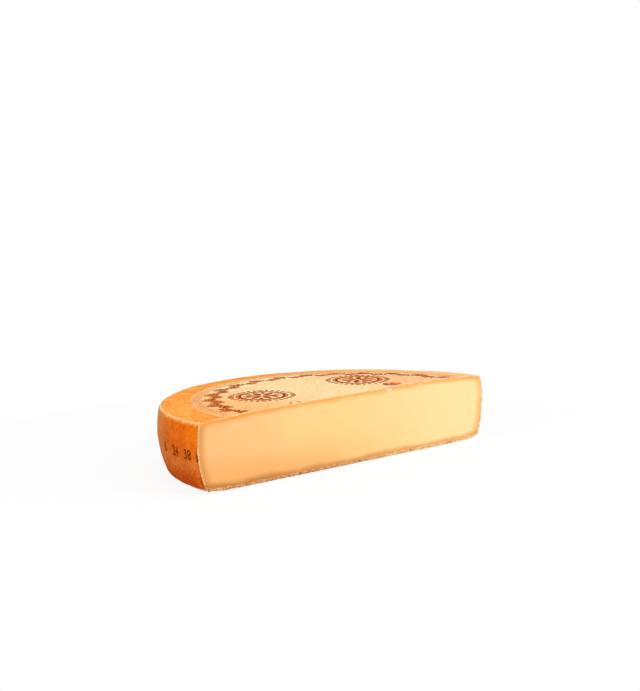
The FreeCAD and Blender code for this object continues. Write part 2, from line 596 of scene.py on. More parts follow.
class Effects:
    """The shader groups that several finishes share, each built once."""

    def __init__(self, section: WheelSection) -> None:
        """Builds the groups for a wheel of this section."""
        self.depths = self._depths(section)
        self.mottle = self._mottle()
        self.grain = self._grain()
        self.crumble = self._crumble()

    @staticmethod
    def _depths(section: WheelSection) -> NodeTree:
        """Builds the group that tells how far a point is under the crown, inside the side and over the foot.

        Args:
            section: The wheel's section.

        Returns:
            The group.
        """
        labels = ("Radius", "Under Crown", "Inside Side", "Over Foot")
        graph, given, results = new_group("Depths", {"Place": VECTOR}, dict.fromkeys(labels, FLOAT))
        x, y, z = graph.split(given["Place"])

        def length(first: Socket, second: Socket) -> Socket:
            """Returns the length of the way made of two steps at a right angle."""
            squares = (graph.product(step, step) for step in (first, second))
            return graph.math("SQRT", graph.total(*squares))

        def past(value: Socket, edge: float) -> Socket:
            """Returns how far a value is past an edge, or 0 before it."""
            return graph.math("MAXIMUM", graph.less(value, edge), 0.0)

        def sag(edge: float, arc: float) -> Socket:
            """Returns how far an arc that starts level at an edge radius has left that level."""
            reach = past(radius, edge)
            return graph.less(arc, graph.math("SQRT", graph.less(arc**2, graph.product(reach, reach))))

        radius = length(x, graph.less(y, section.cut_y))
        crown = graph.less(section.height, sag(section.crown_edge, section.crown_arc_radius))
        out = past(radius, section.side_centre[0])
        over = graph.less(z, section.side_centre[1])
        foot = sag(section.foot_edge, section.foot_arc_radius)
        inside = graph.less(section.side_arc_radius, length(out, over))
        depths = (radius, graph.less(crown, z), inside, graph.less(z, foot))
        graph.feed_all(results, dict(zip(labels, depths)))
        return graph.tree

    @staticmethod
    def _mottle() -> NodeTree:
        """Builds the group that clouds a colour with a darker and a lighter one."""
        inputs = {"Place": VECTOR, "Size": FLOAT, "Amount": FLOAT}
        inputs |= {"Colour": COLOUR, "Dark": COLOUR, "Light": COLOUR}
        graph, given, results = new_group("Mottle", inputs, {"Colour": COLOUR})
        cloud = graph.noise(given["Place"], given["Size"], detail=5.0, roughness=0.62)
        middle, swing = 0.5, 0.22
        colour = given["Colour"]
        for label, full in (("Dark", middle - swing), ("Light", middle + swing)):
            share = graph.product(graph.fade(cloud, middle, full), given["Amount"])
            colour = graph.mix(share, colour, given[label])
        graph.feed(results["Colour"], colour)
        return graph.tree

    @staticmethod
    def _grain() -> NodeTree:
        """Builds the group that gives the height of a fine pitted grain."""
        graph, given, results = new_group(
            "Grain", {"Place": VECTOR, "Size": FLOAT, "Pitting": FLOAT}, {"Height": FLOAT}
        )
        cloud = graph.noise(given["Place"], given["Size"], detail=6.0, roughness=0.68)
        pits_per_size = 1.7
        pit_rim, pit_floor = 0.32, 0.06
        scale = graph.product(graph.scale(given["Size"]), pits_per_size)
        inputs = {"Vector": given["Place"], "Scale": scale}
        cells = graph.add("ShaderNodeTexVoronoi", inputs, feature="F1").outputs["Distance"]
        pits = graph.product(graph.fade(cells, pit_rim, pit_floor), given["Pitting"])
        graph.feed(results["Height"], graph.less(cloud, pits))
        return graph.tree

    @staticmethod
    def _crumble() -> NodeTree:
        """Builds the group that breaks a surface into crumbs, each light, middling or dark."""
        graph, given, results = new_group(
            "Crumble",
            {"Place": VECTOR, "Size": FLOAT, "Light": COLOUR, "Middle": COLOUR, "Dark": COLOUR},
            {"Colour": COLOUR, "Height": FLOAT},
        )
        inputs = {"Vector": given["Place"], "Scale": graph.scale(given["Size"])}
        cells = graph.add("ShaderNodeTexVoronoi", inputs, feature="F1").outputs
        chance = graph.split(cells["Color"])["X"]
        light_chances, dark_chances = (0.45, 0.8), (0.34, 0.14)
        lighter = graph.mix(graph.fade(chance, *light_chances), given["Middle"], given["Light"])
        darker = graph.mix(graph.fade(chance, *dark_chances), lighter, given["Dark"])
        graph.feed_all(results, {"Colour": darker, "Height": graph.less(1.0, cells["Distance"])})
        return graph.tree


# ----------------------------------------
# Finishes


@dataclass(frozen=True)
class Veil:
    """A colour laid over a stretch of a surface.

    Attributes:
        colour: The colour, at the left if it has another at the right.
        spans: Each measure that it follows, with the values at which it begins and is full.
        strength: How much of it shows where it is full.
        right: The colour at the right, if that differs.
        ends: Where the left colour ends and the right one is full, as shares of half the cut.
    """

    colour: Colour
    spans: tuple[tuple[str, float, float], ...]
    strength: float = 1.0
    right: Colour | None = None
    ends: Span = (0.0, 0.0)


@dataclass(frozen=True)
class Swell:
    """A cloudy unevenness with swells of a size, over a span, with finer swells on them."""

    size: float
    span: float
    detail: float = 3.0


@dataclass(frozen=True)
class Clouds:
    """Clouds of a size in metres, laid over a colour by an amount from 0 to 1."""

    size: float
    amount: float


@dataclass(frozen=True)
class Grain:
    """A grain of a size in metres, pitted from 0 to 1."""

    size: float
    pitting: float


class Canvas(Graph):
    """The graph of one material, with its shader and the surface point at hand."""

    def __init__(self, material: Material, effects: Effects) -> None:
        """Starts the material's graph afresh."""
        material.use_nodes = True
        super().__init__(material.node_tree)
        self.effects = effects
        self.shader = self.add("ShaderNodeBsdfPrincipled")
        self.add("ShaderNodeOutputMaterial", {"Surface": self.shader.outputs[0]})
        self.point = self.place()

    @cached_property
    def measures(self) -> dict[str, Socket]:
        """The surface point's coordinates and its depths in the wheel, by name."""
        depths = self.group(self.effects.depths, {"Place": self.point})
        return {socket.name: socket for sockets in (self.split(self.point), depths) for socket in sockets}

    def swell(self, swell: Swell) -> Socket:
        """Returns a cloudy value that swings about nothing."""
        return self.product(self.less(self.noise(self.point, swell.size, swell.detail), 0.5), swell.span)

    def grain(self, grain: Grain) -> Socket:
        """Returns the height of a grain."""
        inputs = {"Place": self.point, "Size": grain.size, "Pitting": grain.pitting}
        return self.group(self.effects.grain, inputs)["Height"]

    def crumble(self, size: float, tones: dict[str, Tint]) -> Outlets:
        """Returns the colour and the height of crumbs of a size, in a light, a middling and a dark tone."""
        return self.group(self.effects.crumble, {"Place": self.point, "Size": size, **tones})

    def cloud(self, colour: Socket, dark: Tint, light: Tint, *clouds: Clouds) -> Socket:
        """Returns a colour with clouds of a darker and a lighter one laid over it in turn."""
        for layer in clouds:
            inputs = {"Place": self.point, "Size": layer.size, "Amount": layer.amount}
            inputs |= {"Colour": colour, "Dark": dark, "Light": light}
            colour = self.group(self.effects.mottle, inputs)["Colour"]
        return colour

    def veil(self, ground: Tint, at: dict[str, Socket], veil: Veil, *masks: Socket) -> Socket:
        """Lays a veil over a colour.

        Args:
            ground: The colour under it.
            at: The measures at the surface point, by name.
            veil: The veil.
            masks: What thins it further.

        Returns:
            The colour that shows.
        """
        spans = [self.fade(at[name], start, end) for name, start, end in veil.spans]
        coat = veil.colour
        if veil.right:
            coat = self.mix(self.fade(at["Across"], *veil.ends), coat, veil.right)
        return self.mix(self.product(*spans, *masks, veil.strength), ground, coat)

    def veils(self, ground: Tint, at: dict[str, Socket], *veils: Veil) -> Socket:
        """Returns a colour with veils laid over it in turn."""
        for veil in veils:
            ground = self.veil(ground, at, veil)
        return ground


class Finish:
    """A surface finish: subclasses say how it is painted.

    Attributes:
        name: The material's name.
        relief: Depth and strength of its relief.
        rough: Roughness where its grain is 0, and what the grain adds to it.
        gloss: How much it mirrors, seen head on.
    """

    name: str
    relief: Span
    rough: Span
    gloss = 0.0

    def material(self, effects: Effects) -> Material:
        """Makes the material.

        Args:
            effects: The shared shader groups.

        Returns:
            The material.
        """
        material = bpy.data.materials.new(self.name)
        canvas = Canvas(material, effects)
        colour, height, grain = self.dress(canvas)
        coats = {
            "Base Color": colour,
            "Normal": canvas.bump(height, *self.relief),
            "Roughness": canvas.total(self.rough[0], canvas.product(grain, self.rough[1])),
            "Specular IOR Level": self.gloss,
        }
        canvas.feed_all(canvas.shader.inputs, coats)
        return material

    def dress(self, canvas: Canvas) -> Coat:
        """Returns the colour, the height and the grain that roughens it. Each finish has its own way."""
        raise NotImplementedError


FOOT_TONES = {
    "Light": (paint(246, 200, 138), paint(255, 228, 172)),
    "Middle": (paint(224, 156, 94), paint(252, 188, 118)),
    "Dark": (paint(182, 112, 64), paint(206, 136, 84)),
}
FOOT_TONES_ENDS = (-20 * MM, 110 * MM)
CRUMB_SIZE = 1.4 * MM


def foot_tones(canvas: Canvas) -> dict[str, Socket]:
    """Returns the tones of the crumbs along the foot: browner at the left of the cut than at the right."""
    rightness = canvas.fade(canvas.measures["X"], *FOOT_TONES_ENDS)
    return {label: canvas.mix(rightness, *tones) for label, tones in FOOT_TONES.items()}


@dataclass(frozen=True)
class PasteFinish(Finish):
    """The cut paste: pale and smooth, deeper in colour towards the rind.

    Attributes:
        half_span: Half the length of the cut.
        nick: Place along the cut of a torn, pale patch below its upper edge.
        left: Colour of the paste at the left, which the middle's and the right's veil.
        streaks: The faint marks of the knife.
        streak_middle: Place along the cut of the middle of their stretch.
        low: Painted shade: a darker, oranger colour towards the underside, most of all at the left.
        edge: The outermost skin at the sides.
        crumbly: Heights at which the crumbly skin over the underside begins and is full.
        wander: How the colours' ends wander along the cut.
        soft: The bands' slow unevenness.
        ragged: The raggedness of all edges, of which each has its own share.
        scatter: Depth to which the light goes into the paste.
    """

    name = "paste"
    relief = (0.25 * MM, 0.5)
    rough = (0.42, 0.2)
    gloss = 0.15
    half_span: float
    nick: float
    # The paste pales towards the right end of the cut: partly its own colour, partly painted light from the
    # right.
    left: Colour = paint(250, 193, 127)
    middle: Veil = Veil(paint(254, 211, 141), (("Along", -1.0, 0.0),))
    right: Veil = Veil(paint(254, 223, 162), (("Along", -0.1, 0.9),))
    streaks: Veil = Veil(
        paint(255, 234, 182), (("Streak", 0.63, 0.8), ("From Streaks", 90 * MM, 20 * MM)), 0.4
    )
    streak_middle: float = 30 * MM
    # Painted shade: darker and oranger towards the underside and the left.
    low: Veil = Veil(paint(247, 178, 104), (("Foot", 58 * MM, 8 * MM), ("Rightness", 0.95, -0.1)))
    # Each band's right colour is paler: partly its own colour, partly painted light from the right.
    side_band: Veil = Veil(
        paint(226, 154, 80), (("Side", 17 * MM, 2 * MM),), right=paint(252, 190, 116), ends=(-0.5, 0.5)
    )
    crown_band: Veil = Veil(
        paint(252, 159, 64), (("Crown", 10.2 * MM, 0.2 * MM),), right=paint(253, 172, 84), ends=(-0.8, 0.1)
    )
    foot_band: Veil = Veil(
        paint(192, 130, 64), (("Foot", 14 * MM, 4 * MM),), right=paint(230, 170, 102), ends=(-1.0, 1.0)
    )
    edge: Veil = Veil(paint(240, 160, 90), (("Edge", 1.8 * MM, 0.8 * MM),))
    # Pale lip along the upper edge: partly the torn edge's own paleness, partly a painted edge highlight.
    lip: Veil = Veil(paint(255, 222, 168), (("Lip", 1.2 * MM, 0.6 * MM),))
    torn: Veil = Veil(paint(255, 238, 204), (("From Nick", 6 * MM, 3 * MM), ("Tear", 4.6 * MM, 3 * MM)))
    crumbly: Span = (4.5 * MM, 3.5 * MM)
    wander: Swell = Swell(70 * MM, 160 * MM)
    soft: Swell = Swell(40 * MM, 8 * MM)
    ragged: Swell = Swell(7 * MM, 1.0, 4.0)
    scatter: float = 4 * MM

    def dress(self, canvas: Canvas) -> Coat:
        """Paints the cut from the inside out, and gives it faint marks of the knife."""
        diagonal = canvas.stretch(canvas.point, (1.0, 1.0, 5.0), (0.0, 0.72, 0.0), (-13 * MM, 0.0, 23 * MM))
        at = self._measure(canvas)
        at["Streak"] = canvas.noise(diagonal, 8 * MM, detail=1.0)
        body = canvas.veils(self.left, at, self.middle, self.right, self.streaks, self.low)
        body = canvas.veils(body, at, self.side_band, self.crown_band, self.foot_band, self.edge)
        crumbs = canvas.crumble(CRUMB_SIZE, foot_tones(canvas))
        skin = canvas.fade(at["Skin"], *self.crumbly)
        body = canvas.mix(skin, body, crumbs["Colour"])
        body = canvas.veils(body, at, self.lip, self.torn)
        strokes = canvas.noise(diagonal, 5 * MM)
        fine = canvas.noise(canvas.point, 1.6 * MM, detail=5.0, roughness=0.7)
        stroke_share, fine_share, crumb_share = 0.6, 0.35, 5.0
        height = canvas.total(canvas.product(strokes, stroke_share), canvas.product(fine, fine_share))
        height = canvas.total(height, canvas.product(crumbs["Height"], skin, crumb_share))
        canvas.shader.inputs["Subsurface Weight"].default_value = 0.15
        canvas.shader.inputs["Subsurface Radius"].default_value = (1.0, 0.55, 0.2)
        canvas.shader.inputs["Subsurface Scale"].default_value = self.scatter
        return body, height, fine

    def _measure(self, canvas: Canvas) -> dict[str, Socket]:
        """Returns what the veils follow: places along the cut, and depths with ragged edges."""
        at = dict(canvas.measures)
        soft, ragged = canvas.swell(self.soft), canvas.swell(self.ragged)

        def uneven(depth: str, drift: float, slow: float = 0.0) -> Socket:
            """Returns a depth with a drift of raggedness and a share of the slow unevenness."""
            return canvas.total(at[depth], canvas.product(soft, slow), canvas.product(ragged, drift))

        def away(middle: float) -> Socket:
            """Returns how far a point lies from a place along the cut."""
            return canvas.math("ABSOLUTE", canvas.less(at["X"], middle))

        at["Across"] = canvas.math("DIVIDE", at["X"], self.half_span)
        at["Along"] = canvas.math("DIVIDE", canvas.total(at["X"], canvas.swell(self.wander)), self.half_span)
        at["Rightness"] = canvas.fade(at["Across"], -1.0, 1.0)
        at["Side"] = uneven("Inside Side", 2 * MM, slow=1.0)
        at["Crown"] = uneven("Under Crown", 2 * MM, slow=0.8)
        at["Foot"] = uneven("Over Foot", 2 * MM, slow=1.0)
        at["Edge"] = uneven("Inside Side", 4 * MM)
        at["Skin"] = uneven("Over Foot", 6 * MM)
        at["Lip"] = uneven("Under Crown", 4 * MM)
        at["Tear"] = uneven("Under Crown", 10 * MM)
        at["From Streaks"] = away(self.streak_middle)
        at["From Nick"] = canvas.total(away(self.nick), canvas.product(ragged, 14 * MM))
        return at


@dataclass(frozen=True)
class RindFinish(Finish):
    """The washed rind: orange-brown and clouded on the side, brighter on the upper face, pale where worn.

    Each part has a colour of its own, veils over it and clouds of a darker and a lighter colour.

    Attributes:
        bloom: A painted sheen below the shoulder, in pale tan patches that fade out towards the back.
        sheen_back: How much of it is left at the back.
        sheen_patch_size: Size of its patches.
        front: Where the side's front begins and is full, seen from the back.
        left_sheen: A painted sheen: a tan patch round the left of the side.
        belt: A faint tan belt at half its height.
        side_painted_highlight: A painted highlight: the lighter stretch just below the shoulder.
        crown_reach: Depths under the crown at which the upper face's colour begins and is full.
        foot_reach: Heights over the foot at which the underside's colour begins and is full.
        ridge: The worn ridge along the shoulder.
        patch_size: Size of the patches in which it is worn.
        swell: How the side's colours swell up and down.
        ragged: The raggedness of the parts' edges.
    """

    name = "rind"
    relief = (0.6 * MM, 0.6)
    rough = (0.5, 0.2)
    side_low: Colour = paint(192, 76, 24)
    side_middle: Veil = Veil(paint(212, 99, 28), (("Height", 4 * MM, 44 * MM),))
    side_top: Veil = Veil(paint(236, 107, 16), (("Height", 46 * MM, 84 * MM),))
    # Painted light: the side painted brighter near the left end of the cut.
    side_near_cut_painted_light: Veil = Veil(
        paint(255, 132, 20), (("Y", -90 * MM, -125 * MM), ("Height", 20 * MM, 70 * MM)), 0.5
    )
    # Painted sheen: pale tan patches below the shoulder.
    bloom: Veil = Veil(paint(206, 158, 104), (("Height", 44 * MM, 80 * MM), ("Y", -80 * MM, 30 * MM)))
    sheen_back: float = 0.35
    sheen_patch_size: float = 34 * MM
    front: Span = (100 * MM, 30 * MM)
    # Painted sheen: a tan patch round the left of the side.
    left_sheen: Veil = Veil(paint(206, 158, 104), (("Y", -60 * MM, 10 * MM), ("Y", 100 * MM, 30 * MM)), 0.45)
    belt: Veil = Veil(
        paint(206, 158, 104), (("Height", 22 * MM, 36 * MM), ("Height", 54 * MM, 40 * MM)), 0.15
    )
    # Painted highlight: the lighter stretch just below the shoulder.
    side_painted_highlight: Veil = Veil(paint(244, 144, 46), (("Over Foot", 82 * MM, 95 * MM),), 0.5)
    side_dark: Colour = paint(172, 66, 14)
    side_light: Colour = paint(244, 144, 46)
    side_clouds: tuple[Clouds, ...] = (Clouds(13 * MM, 0.45), Clouds(3 * MM, 0.5))
    crown: Colour = paint(255, 164, 74)
    # Paler towards the right end: partly the rind's own colour, partly painted light from the right.
    crown_right: Veil = Veil(paint(255, 203, 140), (("X", 60 * MM, 250 * MM),))
    crown_dark: Colour = paint(240, 130, 40)
    crown_right_dark: Veil = Veil(paint(246, 172, 98), (("X", 0.0, 160 * MM),))
    crown_light: Colour = paint(255, 198, 112)
    crown_clouds: tuple[Clouds, ...] = (Clouds(30 * MM, 0.8), Clouds(5 * MM, 0.9))
    foot: Colour = paint(222, 148, 84)
    foot_dark: Colour = paint(176, 98, 44)
    foot_light: Colour = paint(246, 192, 128)
    foot_clouds: tuple[Clouds, ...] = (Clouds(38 * MM, 0.8), Clouds(6 * MM, 0.7))
    crown_reach: Span = (6 * MM, 2 * MM)
    foot_reach: Span = (4 * MM, 1 * MM)
    ridge: Veil = Veil(paint(255, 222, 170), (("Corner", 2.3 * MM, 1.2 * MM), ("Patch", 0.3, 0.46)))
    patch_size: float = 18 * MM
    swell: Swell = Swell(60 * MM, 46 * MM)
    ragged: Swell = Swell(6 * MM, 5 * MM, 4.0)
    coarse: Grain = Grain(6 * MM, 0.25)
    fine: Grain = Grain(1.5 * MM, 0.4)
    fine_share: float = 0.35

    def dress(self, canvas: Canvas) -> Coat:
        """Paints the side, then the upper face, the underside and the worn ridge over it."""
        at = dict(canvas.measures)
        ragged = canvas.swell(self.ragged)
        crown = canvas.veils(self.crown, at, self.crown_right)
        crown_dark = canvas.veils(self.crown_dark, at, self.crown_right_dark)
        crown = canvas.cloud(crown, crown_dark, self.crown_light, *self.crown_clouds)
        foot = canvas.cloud(self.foot, self.foot_dark, self.foot_light, *self.foot_clouds)
        colour = self._side(canvas)
        above = canvas.fade(canvas.total(at["Under Crown"], ragged), *self.crown_reach)
        below = canvas.fade(canvas.total(at["Over Foot"], ragged), *self.foot_reach)
        colour = canvas.mix(below, canvas.mix(above, colour, crown), foot)
        corner = canvas.math("MAXIMUM", at["Under Crown"], at["Inside Side"])
        at["Corner"] = canvas.total(corner, canvas.product(ragged, 0.5))
        at["Patch"] = canvas.noise(canvas.point, self.patch_size)
        colour = canvas.veils(colour, at, self.ridge)
        coarse, fine = canvas.grain(self.coarse), canvas.grain(self.fine)
        return colour, canvas.total(coarse, canvas.product(fine, self.fine_share)), coarse

    def _side(self, canvas: Canvas) -> Socket:
        """Returns the side's colour: deeper towards the heel, clouded, with painted light and sheen."""
        at = dict(canvas.measures)
        at["Height"] = canvas.total(at["Over Foot"], canvas.swell(self.swell))
        side = canvas.veils(self.side_low, at, self.side_middle, self.side_top, self.side_near_cut_painted_light)
        # The painted sheen below the shoulder, in patches, fading out towards the back.
        front = canvas.product(canvas.fade(at["Y"], *self.front), 1 - self.sheen_back)
        patches = canvas.noise(canvas.point, self.sheen_patch_size, detail=4.0)
        side = canvas.veil(side, at, self.bloom, patches, canvas.total(self.sheen_back, front))
        side = canvas.veils(side, at, self.left_sheen, self.belt, self.side_painted_highlight)
        return canvas.cloud(side, self.side_dark, self.side_light, *self.side_clouds)


@dataclass(frozen=True)
class CrustFinish(Finish):
    """The torn, crumbly edge of the cut: cream along the top and the left, redder below and at the right.

    Attributes:
        left: Colour of the crumbs at the left, which the right's and the upper edge's veil.
        pale: Colour of the lightest crumbs.
        deep: Colour of the darkest.
        low: Heights over the foot at which the foot's own tones begin and are full.
        under: The lip just below the upper face, where the band under the crown begins.
        ragged: The raggedness of that lip.
        grain: The grain of the crumbs.
    """

    name = "crust"
    relief = (0.7 * MM, 0.7)
    rough = (0.62, 0.0)
    left: Colour = paint(248, 196, 130)
    right: Veil = Veil(paint(248, 190, 120), (("X", -100 * MM, 100 * MM),))
    # Cream along the upper edge: partly the torn edge's own paleness, partly a painted edge highlight.
    cream: Veil = Veil(paint(255, 220, 161), (("Under Crown", 10 * MM, 3 * MM),))
    pale: Colour = paint(255, 234, 195)
    deep: Colour = paint(240, 160, 84)
    low: Span = (22 * MM, 4 * MM)
    under: Veil = Veil(paint(255, 184, 100), (("Below", 0.4 * MM, 0.8 * MM), ("Below", 5 * MM, 2 * MM)))
    ragged: Swell = Swell(5 * MM, 1.2 * MM)
    grain: Grain = Grain(2 * MM, 0.5)

    def dress(self, canvas: Canvas) -> Coat:
        """Paints the edge by its height and its end of the cut."""
        at = dict(canvas.measures)
        middle = canvas.veils(self.left, at, self.right, self.cream)
        tones = {"Light": self.pale, "Middle": middle, "Dark": self.deep}
        low = canvas.fade(at["Over Foot"], *self.low)
        mixed = {label: canvas.mix(low, tones[label], tone) for label, tone in foot_tones(canvas).items()}
        crumbs = canvas.crumble(CRUMB_SIZE, mixed)
        at["Below"] = canvas.total(at["Under Crown"], canvas.swell(self.ragged))
        grain = canvas.grain(self.grain)
        return canvas.veils(crumbs["Colour"], at, self.under), canvas.total(grain, crumbs["Height"]), grain


@dataclass(frozen=True)
class PaperFinish(Finish):
    """Thin paper grown into the rind: pale peach, fibrous, and stained like the rind towards its rim.

    Attributes:
        rim_radius: Radius of the disc.
        left: Colour at the left of the disc, which the middle's and the right's veil.
        dark: Colour of its darker clouds.
        light: Colour of its lighter clouds.
        margin: Its margin, closely covered in fine print.
        stain: What the rind lends its rim.
        ragged: The raggedness of that stain.
    """

    name = "paper"
    relief = (0.35 * MM, 0.6)
    rough = (0.6, 0.2)
    gloss = 0.02
    rim_radius: float
    left: Colour = paint(255, 193, 120)
    middle: Veil = Veil(paint(255, 238, 184), (("Across", -0.8, -0.1),))
    right: Veil = Veil(paint(250, 204, 150), (("Across", 0.1, 0.6),))
    dark: Colour = paint(250, 184, 114)
    light: Colour = paint(255, 236, 184)
    clouds: Clouds = Clouds(9 * MM, 0.6)
    margin: Veil = Veil(paint(240, 172, 118), (("From Rim", 26 * MM, 16 * MM),), 0.35)
    stain: Veil = Veil(paint(254, 164, 64), (("Ragged Rim", 5 * MM, -2 * MM),))
    ragged: Swell = Swell(10 * MM, 12 * MM, 5.0)
    fibre_size: float = 1.3 * MM
    grain: Grain = Grain(2.2 * MM, 0.3)

    def dress(self, canvas: Canvas) -> Coat:
        """Paints the paper across the wheel, then its stained rim and its fibres."""
        at = dict(canvas.measures)
        at["Across"] = canvas.math("DIVIDE", at["X"], self.rim_radius)
        at["From Rim"] = canvas.less(self.rim_radius, at["Radius"])
        at["Ragged Rim"] = canvas.less(at["From Rim"], canvas.swell(self.ragged))
        body = canvas.veils(self.left, at, self.middle, self.right)
        body = canvas.cloud(body, self.dark, self.light, self.clouds)
        body = canvas.veils(body, at, self.margin, self.stain)
        fibres = canvas.stretch(canvas.point, (1.0, 3.0, 1.0), (0.0, 0.0, 0.6))
        fibre = canvas.noise(fibres, self.fibre_size, detail=5.0, roughness=0.7)
        return body, canvas.total(fibre, canvas.grain(self.grain)), fibre


@dataclass(frozen=True)
class InkFinish(Finish):
    """Food ink on paper or rind, thinner in places so that its ground shows.

    Attributes:
        name: The material's name.
        ink: Colour of the full ink.
        thin: Colour where it is rubbed thin.
        rubbed: Share of the ink that is rubbed thin, from 0 to 1.
        cloud_size: Size of its thin places.
        fade_width: How softly they end.
    """

    relief = (0.2 * MM, 0.5)
    rough = (0.6, 0.0)
    name: str
    ink: Colour
    thin: Colour
    rubbed: float = 0.5
    cloud_size: float = 3 * MM
    fade_width: float = 0.22
    grain: Grain = Grain(1.4 * MM, 0.3)

    def dress(self, canvas: Canvas) -> Coat:
        """Paints the ink in clouds."""
        cloud = canvas.noise(canvas.point, self.cloud_size, detail=5.0, roughness=0.65)
        low = blend(0.2, 0.5, self.rubbed)
        worn = canvas.fade(cloud, low + self.fade_width, low)
        grain = canvas.grain(self.grain)
        return canvas.mix(worn, self.ink, self.thin), grain, grain


def new_piece(
    name: str, mesh: Mesh, effects: Effects, *finishes: Finish, sharp_angle: float = 40.0
) -> Piece:
    """Turns a closed mesh into a dressed piece, its faces turned outwards.

    Args:
        name: The piece's name.
        mesh: Its mesh, in place. It is freed.
        effects: The shared shader groups.
        finishes: Its finishes, in the order of its material slots.
        sharp_angle: Edges that turn by more degrees than this stay sharp.

    Returns:
        The piece.
    """
    bmesh.ops.recalc_face_normals(mesh, faces=mesh.faces)
    piece = new_object(name, mesh, sharp_angle)
    for finish in finishes:
        piece.data.materials.append(finish.material(effects))
    return piece


# ----------------------------------------
# The cheese


class Skin(IntEnum):
    """The half wheel's material slots."""

    PASTE = 0
    RIND = 1
    CRUST = 2


@dataclass
class HalfWheel:
    """The cheese itself: one closed mesh with the cut, the rind and the torn lip between them.

    Attributes:
        crown_limit: Radius on the crown inside which paper covers the rind.
        nick: Place along the cut of a nick in its upper edge.
        foot_zone: Heights at which the lip's rougher stretch along the foot begins and is full.
        foot_tear: How much rougher it is there.
        rind_margin: Width of the side's outermost ring, on which the rind is at its most uneven.
        lip_width: Width of the broken edge round the cut.
        cut_gap: Size of the cut face's mesh.
        hidden_gap: Size of the mesh on the underside and under the paper.
        sway: The wheel's slow departure from round.
        ripple: The rind's dents.
        tear: The raggedness of the cut's edge.
        drag: The cut face's unevenness.
    """

    section: WheelSection
    crown_limit: float
    nick: float = 76 * MM
    nick_width: float = 18 * MM
    nick_depth: float = 1.4 * MM
    foot_zone: Span = (12 * MM, 3 * MM)
    foot_tear: float = 0.8
    rind_margin: float = 12 * MM
    ring_steps: int = 320
    band_spacing: float = 2.1 * MM
    lip_width: float = 0.9 * MM
    cut_gap: float = 3 * MM
    hidden_gap: float = 7 * MM
    sway: Wave = Wave(1.1 * MM, 110 * MM, 2, 3.1)
    ripple: Wave = Wave(0.35 * MM, 17 * MM, 2, 7.7)
    pitting: Wave = Wave(0.22 * MM, 5 * MM, 2, 1.3)
    tear: Wave = Wave(0.75 * MM, 3.2 * MM, 2, 5.9)
    drag: Wave = Wave(0.18 * MM, 45 * MM, 2, 9.2)

    def build(self, effects: Effects) -> Piece:
        """Builds the piece and dresses it.

        Args:
            effects: The shared shader groups.

        Returns:
            The finished piece.
        """
        mesh = bmesh.new()
        self._turn_band(mesh)
        self._close_faces(mesh)
        self._break_edge(mesh)
        self._score_faces(mesh)
        self._weather(mesh)
        paste = PasteFinish(self.section.belly_radius, self.nick)
        return new_piece("cheese_half", mesh, effects, paste, RindFinish(), CrustFinish())

    def _turn_band(self, mesh: Mesh) -> None:
        """Turns the outer part of the section through half a turn about the wheel's axis."""
        points = self.section.band(self.band_spacing, self.crown_limit)
        chain = [mesh.verts.new((radius, self.section.cut_y, height)) for radius, height in points]
        edges = [mesh.edges.new(pair) for pair in zip(chain, chain[1:])]
        bmesh.ops.spin(
            mesh,
            geom=chain + edges,
            cent=(0.0, self.section.cut_y, 0.0),
            axis=UPWARDS,
            dvec=(0.0, 0.0, 0.0),
            angle=HALF_TURN,
            steps=self.ring_steps,
            use_merge=False,
        )
        for face in mesh.faces:
            face.material_index = Skin.RIND

    def _close_faces(self, mesh: Mesh) -> None:
        """Closes the underside, the upper face and the cut, which meet along two lines in the cut."""
        section = self.section
        rims = {
            section.foot_height(section.foot_edge): section.foot_edge,
            section.crown_height(self.crown_limit): self.crown_limit,
        }
        for height, rim in rims.items():
            ends = [self._vert_at(mesh, Vector((side * rim, section.cut_y, height))) for side in (-1, 1)]
            self._rule_line(mesh, *ends, crown=height > section.belly_height)
        for height in rims:
            loop = [edge for edge in mesh.edges if edge.is_boundary or edge.is_wire]
            loop = [edge for edge in loop if self._on_face(edge, height)]
            cap = bmesh.ops.contextual_create(mesh, geom=loop)["faces"][0]
            cap.material_index = Skin.RIND
        rest = [edge for edge in mesh.edges if edge.is_boundary]
        bmesh.ops.contextual_create(mesh, geom=rest)["faces"][0].material_index = Skin.PASTE

    def _on_face(self, edge: Edge, height: float) -> bool:
        """Tells whether an edge bounds the underside or the upper face, by the height of that face."""
        section = self.section
        crown = height > section.belly_height
        limit = (self.crown_limit if crown else section.foot_edge) + WELD
        middle = (edge.verts[0].co + edge.verts[1].co) / 2
        return section.radius_of(middle) < limit and (middle.z > section.belly_height) == crown

    @staticmethod
    def _vert_at(mesh: Mesh, place: Vector) -> Vert:
        """Returns the vertex nearest to a place."""
        return min(mesh.verts, key=lambda vert: (vert.co - place).length_squared)

    def _rule_line(self, mesh: Mesh, first: Vert, last: Vert, crown: bool) -> None:
        """Draws the line in which the cut meets the underside or the crown.

        Args:
            mesh: The mesh.
            first: The line's left end.
            last: Its right end.
            crown: Whether the line follows the crown.
        """
        line = mesh.edges.new((first, last))
        steps = round(line.calc_length() / (0.5 * self.cut_gap))
        inner = bmesh.ops.subdivide_edges(mesh, edges=[line], cuts=steps - 1)["geom_inner"]
        for vert in all_verts(inner) if crown else ():
            vert.co.z = self.section.crown_height(abs(vert.co.x))

    def _break_edge(self, mesh: Mesh) -> None:
        """Breaks the sharp edge round the cut into a narrow lip."""
        edges = [edge for edge in mesh.edges if len({face.material_index for face in edge.link_faces}) == 2]
        lip = bmesh.ops.bevel(
            mesh,
            geom=edges,
            offset=self.lip_width,
            offset_type="OFFSET",
            segments=2,
            profile=0.5,
            affect="EDGES",
            material=-1,
        )["faces"]
        for face in lip:
            face.material_index = Skin.CRUST

